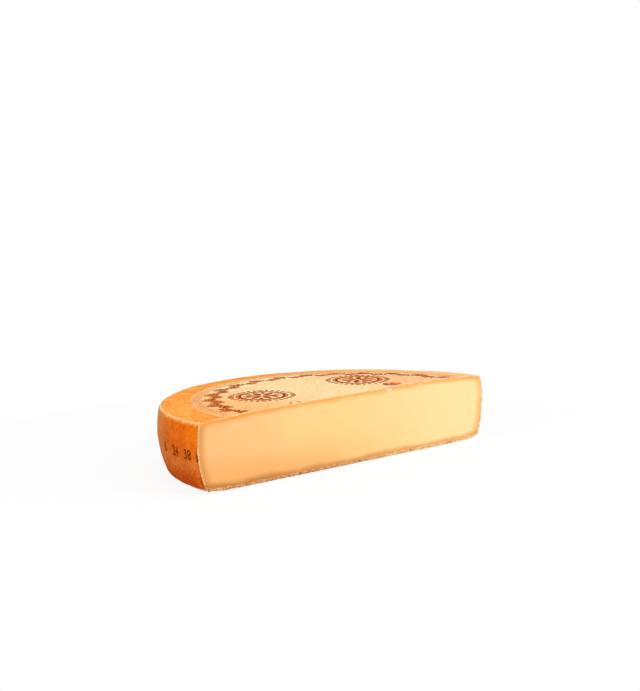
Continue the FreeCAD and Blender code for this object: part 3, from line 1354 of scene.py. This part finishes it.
    def _score_faces(self, mesh: Mesh) -> None:
        """Gives the cut, the underside and the crown a mesh that can be bent."""
        reach = self.section.belly_radius
        front = self.section.cut_y + self.hidden_gap
        cut = [face for face in mesh.faces if face.material_index == Skin.PASTE]
        cut = score(mesh, cut, LEFT_TO_RIGHT, -reach, reach, self.cut_gap)
        score(mesh, cut, UPWARDS, self.cut_gap, self.section.height, self.cut_gap)
        flats = [face for face in mesh.faces if len(face.verts) > self.ring_steps]
        flats = score(mesh, flats, LEFT_TO_RIGHT, -reach, reach, self.hidden_gap)
        score(mesh, flats, FRONT_TO_BACK, front, self.section.cut_y + reach, self.hidden_gap)

    def _weather(self, mesh: Mesh) -> None:
        """Moves every vertex as the real wheel departs from the turned form."""
        mesh.normal_update()
        moves = [(vert, self._move(vert)) for vert in mesh.verts]
        for vert, move in moves:
            vert.co += move
            vert.co.z = max(vert.co.z, 0.0)

    def _move(self, vert: Vert) -> Vector:
        """Returns how far a vertex is moved, by the skin that it lies in."""
        skins = {face.material_index for face in vert.link_faces}
        if Skin.CRUST in skins:
            return self._tear_at(vert.co) + self._nick_at(vert.co)
        if skins == {Skin.PASTE}:
            return FRONT_TO_BACK * self.drag.at(vert.co)
        return vert.normal * self.rind_offset(vert.co)

    def _tear_at(self, point: Vector) -> Vector:
        """Returns how far a point of the lip is torn along the cut, across it and up."""
        across, up = 0.6, 0.8
        elsewhere = 1.3  # reads the same wave in another place
        ragged = (self.tear.at(point), across * self.tear.at(point * elsewhere), up * self.tear.at(-point))
        return Vector(ragged) * (1 + self.foot_tear * ease(point.z, *self.foot_zone))

    def _nick_at(self, point: Vector) -> Vector:
        """Returns how far a point of the lip is torn away by the nick."""
        if point.z < self.section.belly_height:
            return Vector()
        back_and_down = Vector((0.0, 0.8, -1.0))
        share = ease(abs(point.x - self.nick), 0.5 * self.nick_width, 0.1 * self.nick_width)
        return back_and_down * (self.nick_depth * share)

    def rind_offset(self, point: Vector) -> float:
        """Returns how far the rind stands off the turned form at a point of it."""
        section = self.section
        full = section.belly_radius - self.rind_margin
        on_side = ease(section.radius_of(point), section.foot_edge, full)
        return self.sway.at(point) * on_side + (self.ripple.at(point) + self.pitting.at(point)) * on_side


@dataclass
class PaperDisc:
    """The half disc of printed paper on the upper face, cut through with the wheel.

    Attributes:
        sunk: How far its underside lies in the rind.
        setback: How far the knife pushed its cut edge back from the cut.
        wander: The unevenness of its rim and its cut edge.
        rim_zone: Share of the radius at which the rim's unevenness begins.
        cut_share: How much of the unevenness the cut edge has.
        crease: Its faint creases.
    """

    section: WheelSection
    radius: float
    thickness: float = 0.3 * MM
    sunk: float = 0.5 * MM
    setback: float = 1.8 * MM
    gap: float = 3.5 * MM
    rim_steps: int = 720
    wander: Wave = Wave(1.4 * MM, 14 * MM, 3, 4.4)
    rim_zone: float = 0.85
    cut_share: float = 0.7
    crease: Wave = Wave(0.07 * MM, 11 * MM, 3, 6.1)

    def build(self, effects: Effects) -> Piece:
        """Builds the piece and dresses it.

        Args:
            effects: The shared shader groups.

        Returns:
            The finished piece.
        """
        axis_y = self.section.cut_y
        front = axis_y + self.setback
        mesh = bmesh.new()
        circle = {"radius": self.radius, "matrix": Matrix.Translation((0.0, axis_y, 0.0))}
        bmesh.ops.create_circle(mesh, cap_ends=True, segments=self.rim_steps, **circle)
        trim(mesh, front)
        sheet = score(mesh, mesh.faces[:], LEFT_TO_RIGHT, -self.radius, self.radius, self.gap)
        score(mesh, sheet, FRONT_TO_BACK, front + self.gap, axis_y + self.radius, self.gap)
        for vert in mesh.verts:
            vert.co = self._settled(vert.co)
        upper = all_verts(bmesh.ops.extrude_face_region(mesh, geom=mesh.faces[:])["geom"])
        bmesh.ops.translate(mesh, verts=upper, vec=UPWARDS * (self.thickness + self.sunk))
        return new_piece("paper_sheet", mesh, effects, PaperFinish(self.radius))

    def _settled(self, point: Vector) -> Vector:
        """Returns where a point of the flat sheet lies on the crown, with the sheet's unevenness."""
        section = self.section
        front = section.cut_y + self.setback
        out = (point - FRONT_TO_BACK * section.cut_y).normalized()
        rim = ease(section.radius_of(point), self.rim_zone * self.radius, self.radius)
        moved = point + out * (rim * self.wander.at(point))
        edge = ease(point.y, front + 2 * self.gap, front)
        moved.y += self.cut_share * edge * self.wander.at(point * 3)
        moved.y = max(moved.y, section.cut_y)
        moved.z = section.crown_height(section.radius_of(moved)) - self.sunk + self.crease.at(point)
        return moved


# ----------------------------------------
# The print


class Ground:
    """A finished surface that print is laid on."""

    def __init__(self, piece: Piece) -> None:
        """Takes the surface of a piece."""
        mesh = bmesh.new()
        mesh.from_mesh(piece.data)
        self.tree = BVHTree.FromBMesh(mesh)
        mesh.free()

    def lay(
        self,
        mesh: Mesh,
        approach: Callable[[Vector], tuple[Vector, Vector]],
        proud: float = 0.09 * MM,
        sunk: float = 0.15 * MM,
    ) -> None:
        """Lays flat plates on the surface, their undersides in it and their tops just over it.

        Args:
            mesh: The plates, from 0 to 1 in height.
            approach: Gives, for a flat point, a point off the surface and the way from there to it.
            proud: How far the tops stand over the surface.
            sunk: How far the undersides lie in it.
        """
        missed = []
        half = 0.5
        for vert in mesh.verts:
            origin, way = approach(vert.co)
            hit = self.tree.ray_cast(origin, way)[0]
            if hit is None:
                missed.append(vert)
            else:
                vert.co = hit - way * (proud if vert.co.z > half else -sunk)
        bmesh.ops.delete(mesh, geom=missed, context="VERTS")


def draw_petal(mesh: Mesh, root: Vector, way: float, length: float, width: float, hollow: float) -> None:
    """Draws the outline of a petal, bare inside.

    Args:
        mesh: The mesh to add to.
        root: Where it grows from, in the flat.
        way: The way that it points.
        length: Its length.
        width: Its width at its widest.
        hollow: Size of its bare inside, as a share of its own.
    """

    def outline(size: float) -> Curve:
        """Returns the petal's outline drawn at a share of its size."""

        def at(share: float) -> Vector:
            """Returns a point of it, from the tip round."""
            angle = share * FULL_TURN
            along = ring_point(length / 2 * (1 + size * math.cos(angle)), way)
            return root + along + ring_point(width / 2 * size * math.sin(angle), way + HALF_TURN / 2)

        return at

    slab(mesh, outline(hollow), outline(1.0), 12)


@dataclass(frozen=True)
class Blossom:
    """A flower of open petals about an eye.

    Attributes:
        hollow: Size of each petal's bare inside, as a share of its own.
        eye: Radius of its eye, as a share of the flower's.
        inside: Radius of the ring from which the petals grow, as a share of the flower's.
        fill: Width of the petals, as a share of what would fill the flower's middle ring.
    """

    radius: float
    petals: int = 7
    hollow: float = 0.5
    eye: float = 0.2
    inside: float = 0.28
    fill: float = 1.25

    def draw(self, mesh: Mesh, middle: Vector, turn: float) -> None:
        """Draws the flower.

        Args:
            mesh: The mesh to add to.
            middle: Its middle in the flat.
            turn: The way that its first petal points.
        """
        eye = self.eye * self.radius
        slab(mesh, lambda share: middle, lambda share: middle + ring_point(eye, share * FULL_TURN), 10)
        inside = self.inside * self.radius
        length = self.radius - inside
        width = self.fill * self.radius * HALF_TURN / self.petals
        for petal in range(self.petals):
            way = turn + FULL_TURN * petal / self.petals
            draw_petal(mesh, middle + ring_point(inside, way), way, length, width, self.hollow)


def draw_leaf(mesh: Mesh, root: Vector, way: float, length: float, width: float, bend: float = 0.3) -> None:
    """Draws a leaf that tapers to a point at both ends.

    Args:
        mesh: The mesh to add to.
        root: Where it grows from, in the flat.
        way: The way that it points.
        length: Its length.
        width: Its width at its widest.
        bend: How far it curls to its left, as a turn over its length.
    """

    def rib(share: float) -> Vector:
        """Returns a point of the leaf's midrib."""
        return root + ring_point(length * share, way + bend * (share - 0.5))

    fullness = 0.8  # the lower, the blunter the leaf
    stroke(mesh, rib, lambda share: width * math.sin(HALF_TURN * min(max(share, 0.0), 1.0)) ** fullness, 8)


@dataclass(frozen=True)
class Garland:
    """A winding stem of flowers and leaves round the disc.

    Attributes:
        radius: Radius of the ring that it winds about.
        swing: How far the stem swings to each side.
        waves: Number of its waves in the half turn.
        stem: Width of the stem.
        overhang: How far it runs past the half turn at both ends, as a share.
        large: The flower on each outer bend.
        small: The flower on each inner bend.
        leaves: The leaves from one bend to the next: each one's place, as a share of the way, and its side.
        leaf_lengths: Lengths of the shortest and the longest leaf, in millimetres.
        leaf_widths: Widths of the narrowest and the widest leaf, in millimetres.
        lean: The least and the most that a leaf turns from the stem.
    """

    radius: float = 192 * MM
    swing: float = 6 * MM
    waves: int = 14
    stem: float = 1.1 * MM
    overhang: float = 0.01
    large: Blossom = Blossom(10.5 * MM)
    small: Blossom = Blossom(8.6 * MM, petals=6)
    leaves: tuple[tuple[float, int], ...] = ((0.34, 1), (0.46, -1), (0.58, 1), (0.68, -1))
    leaf_lengths: Span = (9, 12.5)
    leaf_widths: Span = (3.4, 4.4)
    lean: Span = (0.75, 1.15)
    curl: float = 0.5
    seed: int = 4

    def at(self, share: float, aside: float = 0.0) -> Vector:
        """Returns the stem's point at a share of the half turn, or a point beside it."""
        angle = share * HALF_TURN
        return ring_point(self.radius + aside + self.swing * math.sin(2 * self.waves * angle), angle)

    def draw(self, mesh: Mesh) -> None:
        """Draws the stem, then a flower on each bend and leaves between them."""
        chance = random.Random(self.seed)
        ends = (-self.overhang, 1 + self.overhang)
        stroke(mesh, lambda share: self.at(blend(*ends, share)), lambda share: self.stem, self.waves * 16)
        bends = 2 * self.waves
        for bend in range(bends + 1):
            outer = bend % 2 == 0
            place = bend + 0.5
            flower = self.large if outer else self.small
            flower.draw(mesh, self.at(place / bends), chance.uniform(0, FULL_TURN))
            for step, side in self.leaves:
                self._draw_twig(mesh, (place + step) / bends, side if outer else -side, chance)

    def _draw_twig(self, mesh: Mesh, share: float, side: int, chance: random.Random) -> None:
        """Draws a leaf on one side of the stem, leaning along it."""
        nudge = 0.001
        root = self.at(share)
        ahead = self.at(share + nudge) - root
        way = math.atan2(ahead.y, ahead.x) + side * chance.uniform(*self.lean)
        length = chance.uniform(*self.leaf_lengths) * MM
        draw_leaf(mesh, root, way, length, chance.uniform(*self.leaf_widths) * MM, self.curl * side)


@dataclass(frozen=True)
class Rosette:
    """A compass-drawn rosette of six petals in rings.

    Attributes:
        middle: Its middle, from the wheel's axis in the flat.
        rings: Radius and width of each plain ring, as shares of its radius.
        ticks: Number of short strokes in its outer ring.
        blooms: Number of small flowers that take the place of a stroke.
    """

    middle: Spot
    radius: float = 49 * MM
    petals: int = 6
    rings: tuple[Span, ...] = ((0.74, 0.04), (0.65, 0.1))
    ticks: int = 32
    tick_width: float = 5 * MM
    blooms: int = 4

    def draw(self, mesh: Mesh) -> None:
        """Draws the ring of strokes, the rings and the petals."""
        middle = flat(self.middle)
        outwards = math.atan2(middle.y, middle.x)
        bloom = Blossom(0.11 * self.radius, petals=5)
        bloom_ring = 0.9 * self.radius
        for tick in range(self.ticks):
            way = outwards + FULL_TURN * (tick + 0.5) / self.ticks
            if tick % (self.ticks // self.blooms) == 0:
                bloom.draw(mesh, middle + ring_point(bloom_ring, way), way)
            else:
                self._draw_ray(mesh, way, start=0.8, length=0.2, width=self.tick_width)
        for share, width in self.rings:
            self._draw_ring(mesh, middle, share * self.radius, width * self.radius)
        for petal in range(self.petals):
            way = outwards + FULL_TURN * petal / self.petals
            self._draw_ray(mesh, way, start=0.05, length=0.52, width=0.19 * self.radius)
            between = way + HALF_TURN / self.petals
            self._draw_ray(mesh, between, start=0.34, length=0.24, width=0.13 * self.radius)

    def _draw_ray(self, mesh: Mesh, way: float, start: float, length: float, width: float) -> None:
        """Draws a leaf that points away from the middle, its start and length as shares of the radius."""
        root = flat(self.middle) + ring_point(start * self.radius, way)
        draw_leaf(mesh, root, way, length * self.radius, width, bend=0)

    @staticmethod
    def _draw_ring(mesh: Mesh, middle: Vector, radius: float, width: float) -> None:
        """Draws a plain ring."""

        def circle(size: float) -> Curve:
            """Returns a circle about the middle."""
            return lambda share: middle + ring_point(size, share * FULL_TURN)

        slab(mesh, circle(radius - width / 2), circle(radius + width / 2), 72)


class Ink(Enum):
    """The inks, each with its finish."""

    BROWN = InkFinish("brown_ink", ink=paint(158, 42, 0), thin=paint(210, 96, 28), rubbed=0.45)
    PALE = InkFinish("pale_ink", ink=paint(236, 168, 110), thin=paint(250, 194, 134), rubbed=0.6)
    MARGIN = InkFinish("margin_ink", ink=paint(198, 116, 66), thin=paint(236, 164, 108), rubbed=0.5)
    ORANGE = InkFinish("orange_ink", ink=paint(240, 92, 0), thin=paint(248, 146, 40), rubbed=0.6)
    STAMP = InkFinish("stamp_ink", ink=paint(112, 32, 2), thin=paint(190, 82, 14), rubbed=0.5)


@dataclass
class PaperPrint:
    """All that is printed on the paper: a garland, two rosettes, a small roundel and rows of short dashes.

    Attributes:
        roundel: Middle of the roundel, from the wheel's axis in the flat.
        marks: Middles of two bold strokes beside the cut.
        mark_size: Width and depth of each.
        row_gap: Distance between rows of dashes.
        row_turn: How far the rows are turned from the line of the cut.
        dash_lengths: The dashes' lengths, in millimetres.
        dash_gaps: The gaps after them, in millimetres.
        dash_widths: Their least and their greatest width, in millimetres.
        clear: Bare paper left beside the cut.
        spare: Bare paper left round everything printed.
    """

    section: WheelSection
    paper_radius: float
    garland: Garland = Garland()
    rosettes: tuple[Rosette, ...] = (Rosette((-92 * MM, 83 * MM)), Rosette((94 * MM, 86 * MM)))
    roundel: Spot = (100 * MM, 19 * MM)
    roundel_radius: float = 14 * MM
    marks: tuple[Spot, ...] = ((-105 * MM, 6 * MM), (-91 * MM, 6 * MM))
    mark_size: Spot = (4.5 * MM, 6 * MM)
    row_gap: float = 3.6 * MM
    row_turn: float = -0.5
    dash_lengths: tuple[float, ...] = (1.0, 1.6, 2.4, 3.4)
    dash_gaps: tuple[float, ...] = (0.8, 0.9, 2.0)
    dash_widths: Span = (0.9, 1.3)
    clear: float = 3 * MM
    spare: float = 3 * MM
    seed: int = 21

    def build(self, effects: Effects, ground: Ground) -> list[Piece]:
        """Builds the printed pieces and dresses them.

        Args:
            effects: The shared shader groups.
            ground: The paper.

        Returns:
            The finished pieces.
        """
        garland, rosettes, dashes, margin, field, core = (bmesh.new() for _ in range(6))
        self.garland.draw(garland)
        for rosette in self.rosettes:
            rosette.draw(rosettes)
        self._draw_dashes(dashes, margin)
        self._draw_marks(rosettes)
        self._draw_roundel(field, core)
        prints = (
            ("garland_print", garland, Ink.BROWN),
            ("rosette_print", rosettes, Ink.BROWN),
            ("dash_print", dashes, Ink.PALE),
            ("margin_print", margin, Ink.MARGIN),
            ("roundel_field", field, Ink.ORANGE),
            ("roundel_core", core, Ink.STAMP),
        )
        for _, mesh, _ in prints:
            trim(mesh, self.clear)
            bmesh.ops.holes_fill(mesh, edges=[edge for edge in mesh.edges if edge.is_boundary], sides=0)
            ground.lay(mesh, self._from_above)
        return [new_piece(name, mesh, effects, ink.value) for name, mesh, ink in prints]

    def _from_above(self, point: Vector) -> tuple[Vector, Vector]:
        """Returns a point over the paper and the way down."""
        return Vector((point.x, point.y + self.section.cut_y, 2 * self.section.height)), -UPWARDS

    def _draw_roundel(self, field: Mesh, core: Mesh) -> None:
        """Draws an orange half ring, and the dark half ring and core beside it."""

        def draw_sector(mesh: Mesh, inner: float, outer: float, turns: Span, steps: int) -> None:
            """Draws a stretch of a ring, its radii as shares of the roundel's."""

            def arc(share_of_radius: float) -> Curve:
                """Returns one of its round edges."""
                radius = share_of_radius * self.roundel_radius
                return lambda share: flat(self.roundel) + ring_point(radius, blend(*turns, share))

            slab(mesh, arc(inner), arc(outer), steps)

        draw_sector(field, inner=0.35, outer=1.0, turns=(-1.3, 1.7), steps=24)
        draw_sector(core, inner=0.5, outer=1.0, turns=(1.9, 4.7), steps=20)
        draw_sector(core, inner=0.0, outer=0.28, turns=(0.0, FULL_TURN), steps=20)

    def _draw_dashes(self, inner: Mesh, outer: Mesh) -> None:
        """Draws rows of short dashes wherever nothing else is printed, inside and outside the garland."""
        chance = random.Random(self.seed)
        along = ring_point(1.0, self.row_turn)
        across = ring_point(1.0, self.row_turn + HALF_TURN / 2)
        turn = Matrix.Rotation(self.row_turn, 4, "Z")
        most_indent = 4
        rows = round(2 * self.paper_radius / self.row_gap)
        for row in range(-rows // 2, rows // 2):
            lines = {inner: bmesh.new(), outer: bmesh.new()}
            place = -self.paper_radius + chance.uniform(0, most_indent) * MM
            while place < self.paper_radius:
                length = chance.choice(self.dash_lengths) * MM
                middle = along * (place + length / 2) + across * (row * self.row_gap)
                if self._is_free(middle):
                    size = Matrix.Diagonal((length, chance.uniform(*self.dash_widths) * MM, 1.0, 1.0))
                    shift = Matrix.Translation(middle + UPWARDS / 2)
                    target = outer if middle.length > self.garland.radius else inner
                    bmesh.ops.create_cube(lines[target], size=1.0, matrix=shift @ turn @ size)
                place += length + chance.choice(self.dash_gaps) * MM
            for target, line in lines.items():
                pour(line, target)

    def _draw_marks(self, mesh: Mesh) -> None:
        """Draws the bold strokes beside the cut."""
        for place in self.marks:
            size = Matrix.Diagonal((*self.mark_size, 1.0, 1.0))
            shift = Matrix.Translation(flat(place) + UPWARDS / 2)
            bmesh.ops.create_cube(mesh, size=1.0, matrix=shift @ size)

    def _is_free(self, point: Vector) -> bool:
        """Tells whether a point of the flat is bare paper."""
        if point.y < self.clear + self.spare or point.length > self.paper_radius - 2 * self.spare:
            return False
        if abs(point.length - self.garland.radius) < self.garland.swing + self.garland.large.radius:
            return False
        rounds = [(rosette.middle, rosette.radius) for rosette in self.rosettes]
        rounds.append((self.roundel, self.roundel_radius))
        return all((point - flat(middle)).length > radius + self.spare for middle, radius in rounds)


@dataclass
class RimStamp:
    """Plain numbers stamped round the side.

    Attributes:
        middle_height: Height of their middles over the foot.
        numbers: The numbers, in their order along the rim from the left end of the cut.
        places: Distance along the rim from the left end of the cut to each number's middle, in millimetres.
        proud: How far they stand over the rind.
        boldness: How much bolder they are than the plain letters, in letter heights.
    """

    section: WheelSection
    digit_height: float = 14.5 * MM
    middle_height: float = 51 * MM
    numbers: tuple[str, ...] = ("1", "38", "24", "6", "12", "36", "18", "30", "6", "24", "12")
    places: tuple[float, ...] = (4, 26, 60, 97, 180, 215, 330, 368, 500, 640, 760)
    proud: float = 0.12 * MM
    boldness: float = 0.024
    grid: float = 1.5 * MM

    def build(self, effects: Effects, ground: Ground) -> Piece:
        """Builds the numbers and dresses them.

        Args:
            effects: The shared shader groups.
            ground: The rind.

        Returns:
            The finished piece.
        """
        mesh = bmesh.new()
        for number, place in zip(self.numbers, self.places):
            self._draw_number(mesh, number, place * MM)
        ground.lay(mesh, self._from_outside, proud=self.proud)
        bmesh.ops.dissolve_degenerate(mesh, dist=WELD, edges=mesh.edges)
        return new_piece("rim_numbers", mesh, effects, Ink.STAMP.value)

    def _draw_number(self, mesh: Mesh, number: str, place: float) -> None:
        """Draws a number in the flat: x runs along the rim towards the cut, y up."""
        half, weld = 0.5, 1e-5
        curve = bpy.data.curves.new(number, "FONT")
        curve.body = number
        curve.extrude = half
        curve.offset = self.boldness
        curve.resolution_u = 3
        writing = bpy.data.objects.new(number, curve)
        bpy.context.scene.collection.objects.link(writing)
        bpy.context.view_layer.update()
        letters = bpy.data.meshes.new_from_object(writing)
        bpy.data.objects.remove(writing)
        part = bmesh.new()
        part.from_mesh(letters)
        bpy.data.meshes.remove(letters)
        bmesh.ops.remove_doubles(part, verts=part.verts, dist=weld)
        left, right = (pick(vert.co.x for vert in part.verts) for pick in (min, max))
        bottom, top = (pick(vert.co.y for vert in part.verts) for pick in (min, max))
        scale = self.digit_height / (top - bottom)
        for vert in part.verts:
            along = (vert.co.x - (left + right) / 2) * scale - place
            up = (vert.co.y - (bottom + top) / 2) * scale + self.middle_height
            vert.co = Vector((along, up, vert.co.z + half))
        start = -place - 2 * self.digit_height
        low = self.middle_height - self.digit_height
        lines = score(part, part.faces[:], LEFT_TO_RIGHT, start, -self.grid, self.grid)
        score(part, lines, FRONT_TO_BACK, low, low + 2 * self.digit_height, self.grid)
        pour(part, mesh)

    def _from_outside(self, point: Vector) -> tuple[Vector, Vector]:
        """Returns a point off the rim and the level way in to the wheel's axis."""
        turn = HALF_TURN + point.x / self.section.belly_radius
        out = ring_point(1.0, turn)
        axis = Vector((0.0, self.section.cut_y, point.y))  # the print's y runs up the side
        return axis + out * (2 * self.section.belly_radius), -out


@dataclass
class Crumbs:
    """Crumbs of paste and rind that the knife left along the cut's edge.

    Attributes:
        clump_size: Length of a clump along the lip.
        clump_floor: How likely a crumb is between two clumps.
        batch: How many crumbs are made at a time.
        smallest: Radius of the smallest.
        largest: Radius of the largest.
        foot_zone: Height below which the lip belongs to the foot.
        crown_zone: Depth above which it belongs to the crown.
        rarity: How rare large crumbs are at the foot and elsewhere, as a power.
        likelihood: How likely a crumb is at the crown, the left and the right side, where the foot has 1.
        scatter: How far they lie off the lip, in millimetres.
        pile: How high they pile up along the foot, in millimetres.
        squash: Their least and their greatest size along each of their axes, as shares.
        dents: How far their corners are dented, as a share.
    """

    section: WheelSection
    seed: int = 11
    clump_size: float = 9 * MM
    clump_floor: float = 0.08
    count: int = 1800
    batch: int = 100
    smallest: float = 0.35 * MM
    largest: float = 1.5 * MM
    foot_zone: float = 12 * MM
    crown_zone: float = 8 * MM
    rarity: Span = (2.5, 4.5)
    likelihood: tuple[float, float, float] = (0.15, 0.2, 1.0)
    scatter: float = 0.8
    pile: float = 2.5
    squash: Span = (0.7, 1.25)
    dents: Span = (-0.3, 0.3)

    def build(self, effects: Effects, cheese: Piece) -> Piece:
        """Builds the crumbs along the torn lip and dresses them.

        Args:
            effects: The shared shader groups.
            cheese: The half wheel, whose lip they sit on.

        Returns:
            The finished piece.
        """
        chance = random.Random(self.seed)
        lip = [face.center.copy() for face in cheese.data.polygons if face.material_index == Skin.CRUST]
        weights = [self._likelihood_at(point) for point in lip]
        mesh = bmesh.new()
        batch = bmesh.new()
        for number, point in enumerate(chance.choices(lip, weights, k=self.count)):
            if number % self.batch == 0:
                pour(batch, mesh)
                batch = bmesh.new()
            self._drop(batch, point, chance)
        pour(batch, mesh)
        return new_piece("cut_crumbs", mesh, effects, CrustFinish(), sharp_angle=70.0)

    def _drop(self, mesh: Mesh, point: Vector, chance: random.Random) -> None:
        """Drops a crumb near a point of the lip: a lump turned, squashed and dented by chance.

        Args:
            mesh: The mesh to add to.
            point: The point.
            chance: The source of chance.
        """

        def anyhow() -> Vector:
            """Returns a vector of any way."""
            return Vector([chance.uniform(-1, 1) for _ in range(3)])

        low = point.z < self.foot_zone
        radius = blend(self.smallest, self.largest, chance.random() ** self.rarity[0 if low else 1])
        squash = Matrix.Diagonal([*(radius * chance.uniform(*self.squash) for _ in range(3)), 1.0])
        turn = Matrix.Rotation(chance.uniform(0, FULL_TURN), 4, anyhow())
        place = point + anyhow() * self.scatter * MM
        if low:
            place.z = max(place.z + chance.uniform(0, self.pile) * MM, 0.8 * radius)
        matrix = Matrix.Translation(place) @ turn @ squash
        for vert in bmesh.ops.create_icosphere(mesh, subdivisions=1, radius=1.0, matrix=matrix)["verts"]:
            vert.co += (vert.co - place) * chance.uniform(*self.dents)
            vert.co.z = max(vert.co.z, 0.0)

    def _likelihood_at(self, point: Vector) -> float:
        """Returns how likely a crumb is at a point of the lip: in clumps, and most of all along the foot."""
        middle, swing = 0.5, 1.5
        clump = max(self.clump_floor, middle + swing * noise.noise(point / self.clump_size))
        crown, left, right = self.likelihood
        if point.z < self.foot_zone:
            return clump
        if point.z > self.section.height - self.crown_zone:
            return crown * clump
        return (right if point.x > 0 else left) * clump


# ----------------------------------------
# The studio


@dataclass(frozen=True)
class Lamp:
    """A soft square lamp that faces the object. Its angles are in degrees, its power in watts.

    Attributes:
        turn: Where it stands, round the object from the front to the right.
        rise: How high it stands over the floor.
    """

    name: str
    turn: float
    rise: float
    distance: float
    side: float
    power: float

    def hang(self, target: Vector) -> None:
        """Hangs the lamp so that it faces the target."""
        back = way_of(self.turn, self.rise)
        light = bpy.data.lights.new(self.name, "AREA")
        light.size = self.side
        light.energy = self.power
        lamp = bpy.data.objects.new(self.name, light)
        lamp.location = target + back * self.distance
        lamp.rotation_euler = back.to_track_quat("Z", "Y").to_euler()
        bpy.context.scene.collection.objects.link(lamp)


@dataclass(frozen=True)
class Studio:
    """The pale floor, the soft light and the camera. Angles are in degrees, the lens in millimetres.

    Attributes:
        azimuth: The camera's place round the object, from the front to the right.
        roll: How far it is tilted sideways.
        shade_reach: How far from the object the floor still shows its shadow.
        shade: How much of the shadow shows.
        ambient: Strength of the light that comes from all round.
        lit_point: The point that the lamps face.
    """

    azimuth: float = -41.558
    elevation: float = 7.688
    roll: float = -1.338
    distance: float = 2.287
    target: tuple[float, float, float] = (-15.8 * MM, -91 * MM, 166.6 * MM)
    lens: float = 84.52
    floor_size: float = 30.0
    shade_reach: float = 0.6
    shade: float = 0.12
    ambient: float = 0.55
    lit_point: tuple[float, float, float] = (0.0, 0.0, 50 * MM)
    lamps: tuple[Lamp, ...] = (
        Lamp("key", turn=25, rise=38, distance=2.4, side=1.4, power=20),
        Lamp("fill", turn=-75, rise=30, distance=2.6, side=1.6, power=17),
        Lamp("top", turn=0, rise=86, distance=2.4, side=1.8, power=10),
    )

    def build(self) -> None:
        """Sets up the whole studio."""
        self._build_floor()
        self._light_world()
        for lamp in self.lamps:
            lamp.hang(Vector(self.lit_point))
        self._place_camera()
        bpy.context.scene.view_settings.view_transform = "Standard"

    def _build_floor(self) -> None:
        """Lays a pale floor that shows the object's shadow and passes over into plain white."""
        mesh = bmesh.new()
        bmesh.ops.create_grid(mesh, x_segments=1, y_segments=1, size=self.floor_size / 2)
        floor = new_object("floor", mesh)
        material = bpy.data.materials.new("pale_floor")
        material.use_nodes = True
        graph = Graph(material.node_tree)
        lit = graph.add("ShaderNodeBsdfPrincipled", {"Base Color": paint(250, 250, 250), "Roughness": 0.9})
        white = graph.add("ShaderNodeEmission", {"Color": paint(255, 255, 255), "Strength": 1.0})
        away = graph.add("ShaderNodeVectorMath", {0: graph.place()}, operation="LENGTH").outputs["Value"]
        far = graph.fade(away, 0.5 * self.shade_reach, self.shade_reach)
        plain = graph.product(self._seen(graph), graph.math("MAXIMUM", far, 1.0 - self.shade))
        joined = graph.add("ShaderNodeMixShader", {0: plain, 1: lit.outputs[0], 2: white.outputs[0]})
        graph.add("ShaderNodeOutputMaterial", {"Surface": joined.outputs[0]})
        floor.data.materials.append(material)

    @staticmethod
    def _seen(graph: Graph) -> Socket:
        """Returns 1 for what the camera sees, straight, by a gloss or through glass, and 0 for the rest."""
        path = graph.add("ShaderNodeLightPath").outputs
        gloss = graph.math("MAXIMUM", path["Is Glossy Ray"], path["Is Transmission Ray"])
        return graph.math("MAXIMUM", path["Is Camera Ray"], gloss)

    def _light_world(self) -> None:
        """Lights the object evenly from all round, before a white background."""
        world = bpy.data.worlds.new("studio")
        world.use_nodes = True
        bpy.context.scene.world = world
        graph = Graph(world.node_tree)
        strength = graph.total(self.ambient, graph.product(self._seen(graph), 1.0 - self.ambient))
        sky = graph.add("ShaderNodeBackground", {"Color": paint(255, 255, 255), "Strength": strength})
        graph.add("ShaderNodeOutputWorld", {"Surface": sky.outputs[0]})

    def _place_camera(self) -> None:
        """Places the camera."""
        back = way_of(self.azimuth, self.elevation)
        camera = bpy.data.objects.new("camera", bpy.data.cameras.new("camera"))
        camera.data.lens = self.lens
        upright = back.to_track_quat("Z", "Y").to_matrix().to_4x4()
        rolled = upright @ Matrix.Rotation(math.radians(self.roll), 4, "Z")
        camera.matrix_world = Matrix.Translation(Vector(self.target) + back * self.distance) @ rolled
        bpy.context.scene.collection.objects.link(camera)
        bpy.context.scene.camera = camera


def hand_over(piece: Piece, slot: str, *replaced: str) -> None:
    """Ties a finished piece to the body and reports it.

    Args:
        piece: The piece.
        slot: Not used.
        replaced: Names of the solids that it stands for.
    """
    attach(piece, BODY)
    if replaced:
        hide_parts(*replaced)
    logger.info("%s: %d faces", piece.name, len(piece.data.polygons))


def main() -> None:
    """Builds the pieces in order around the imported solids, then the studio, and reports each."""
    logging.basicConfig(level=logging.INFO, format="%(message)s")
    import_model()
    section = WheelSection.from_frame()
    low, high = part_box("paper_disc")
    paper_radius = (high.x - low.x) / 2
    effects = Effects(section)
    cheese = HalfWheel(section, crown_limit=paper_radius - PAPER_OVERLAP).build(effects)
    hand_over(cheese, "cheese", "half_wheel")
    hand_over(Crumbs(section).build(effects, cheese), "cheese")
    paper = PaperDisc(section, paper_radius).build(effects)
    hand_over(paper, "paper", "paper_disc")
    for piece in PaperPrint(section, paper_radius).build(effects, Ground(paper)):
        hand_over(piece, "ink")
    hand_over(RimStamp(section).build(effects, Ground(cheese)), "ink")
    Studio().build()


if __name__ == "__main__":
    main()
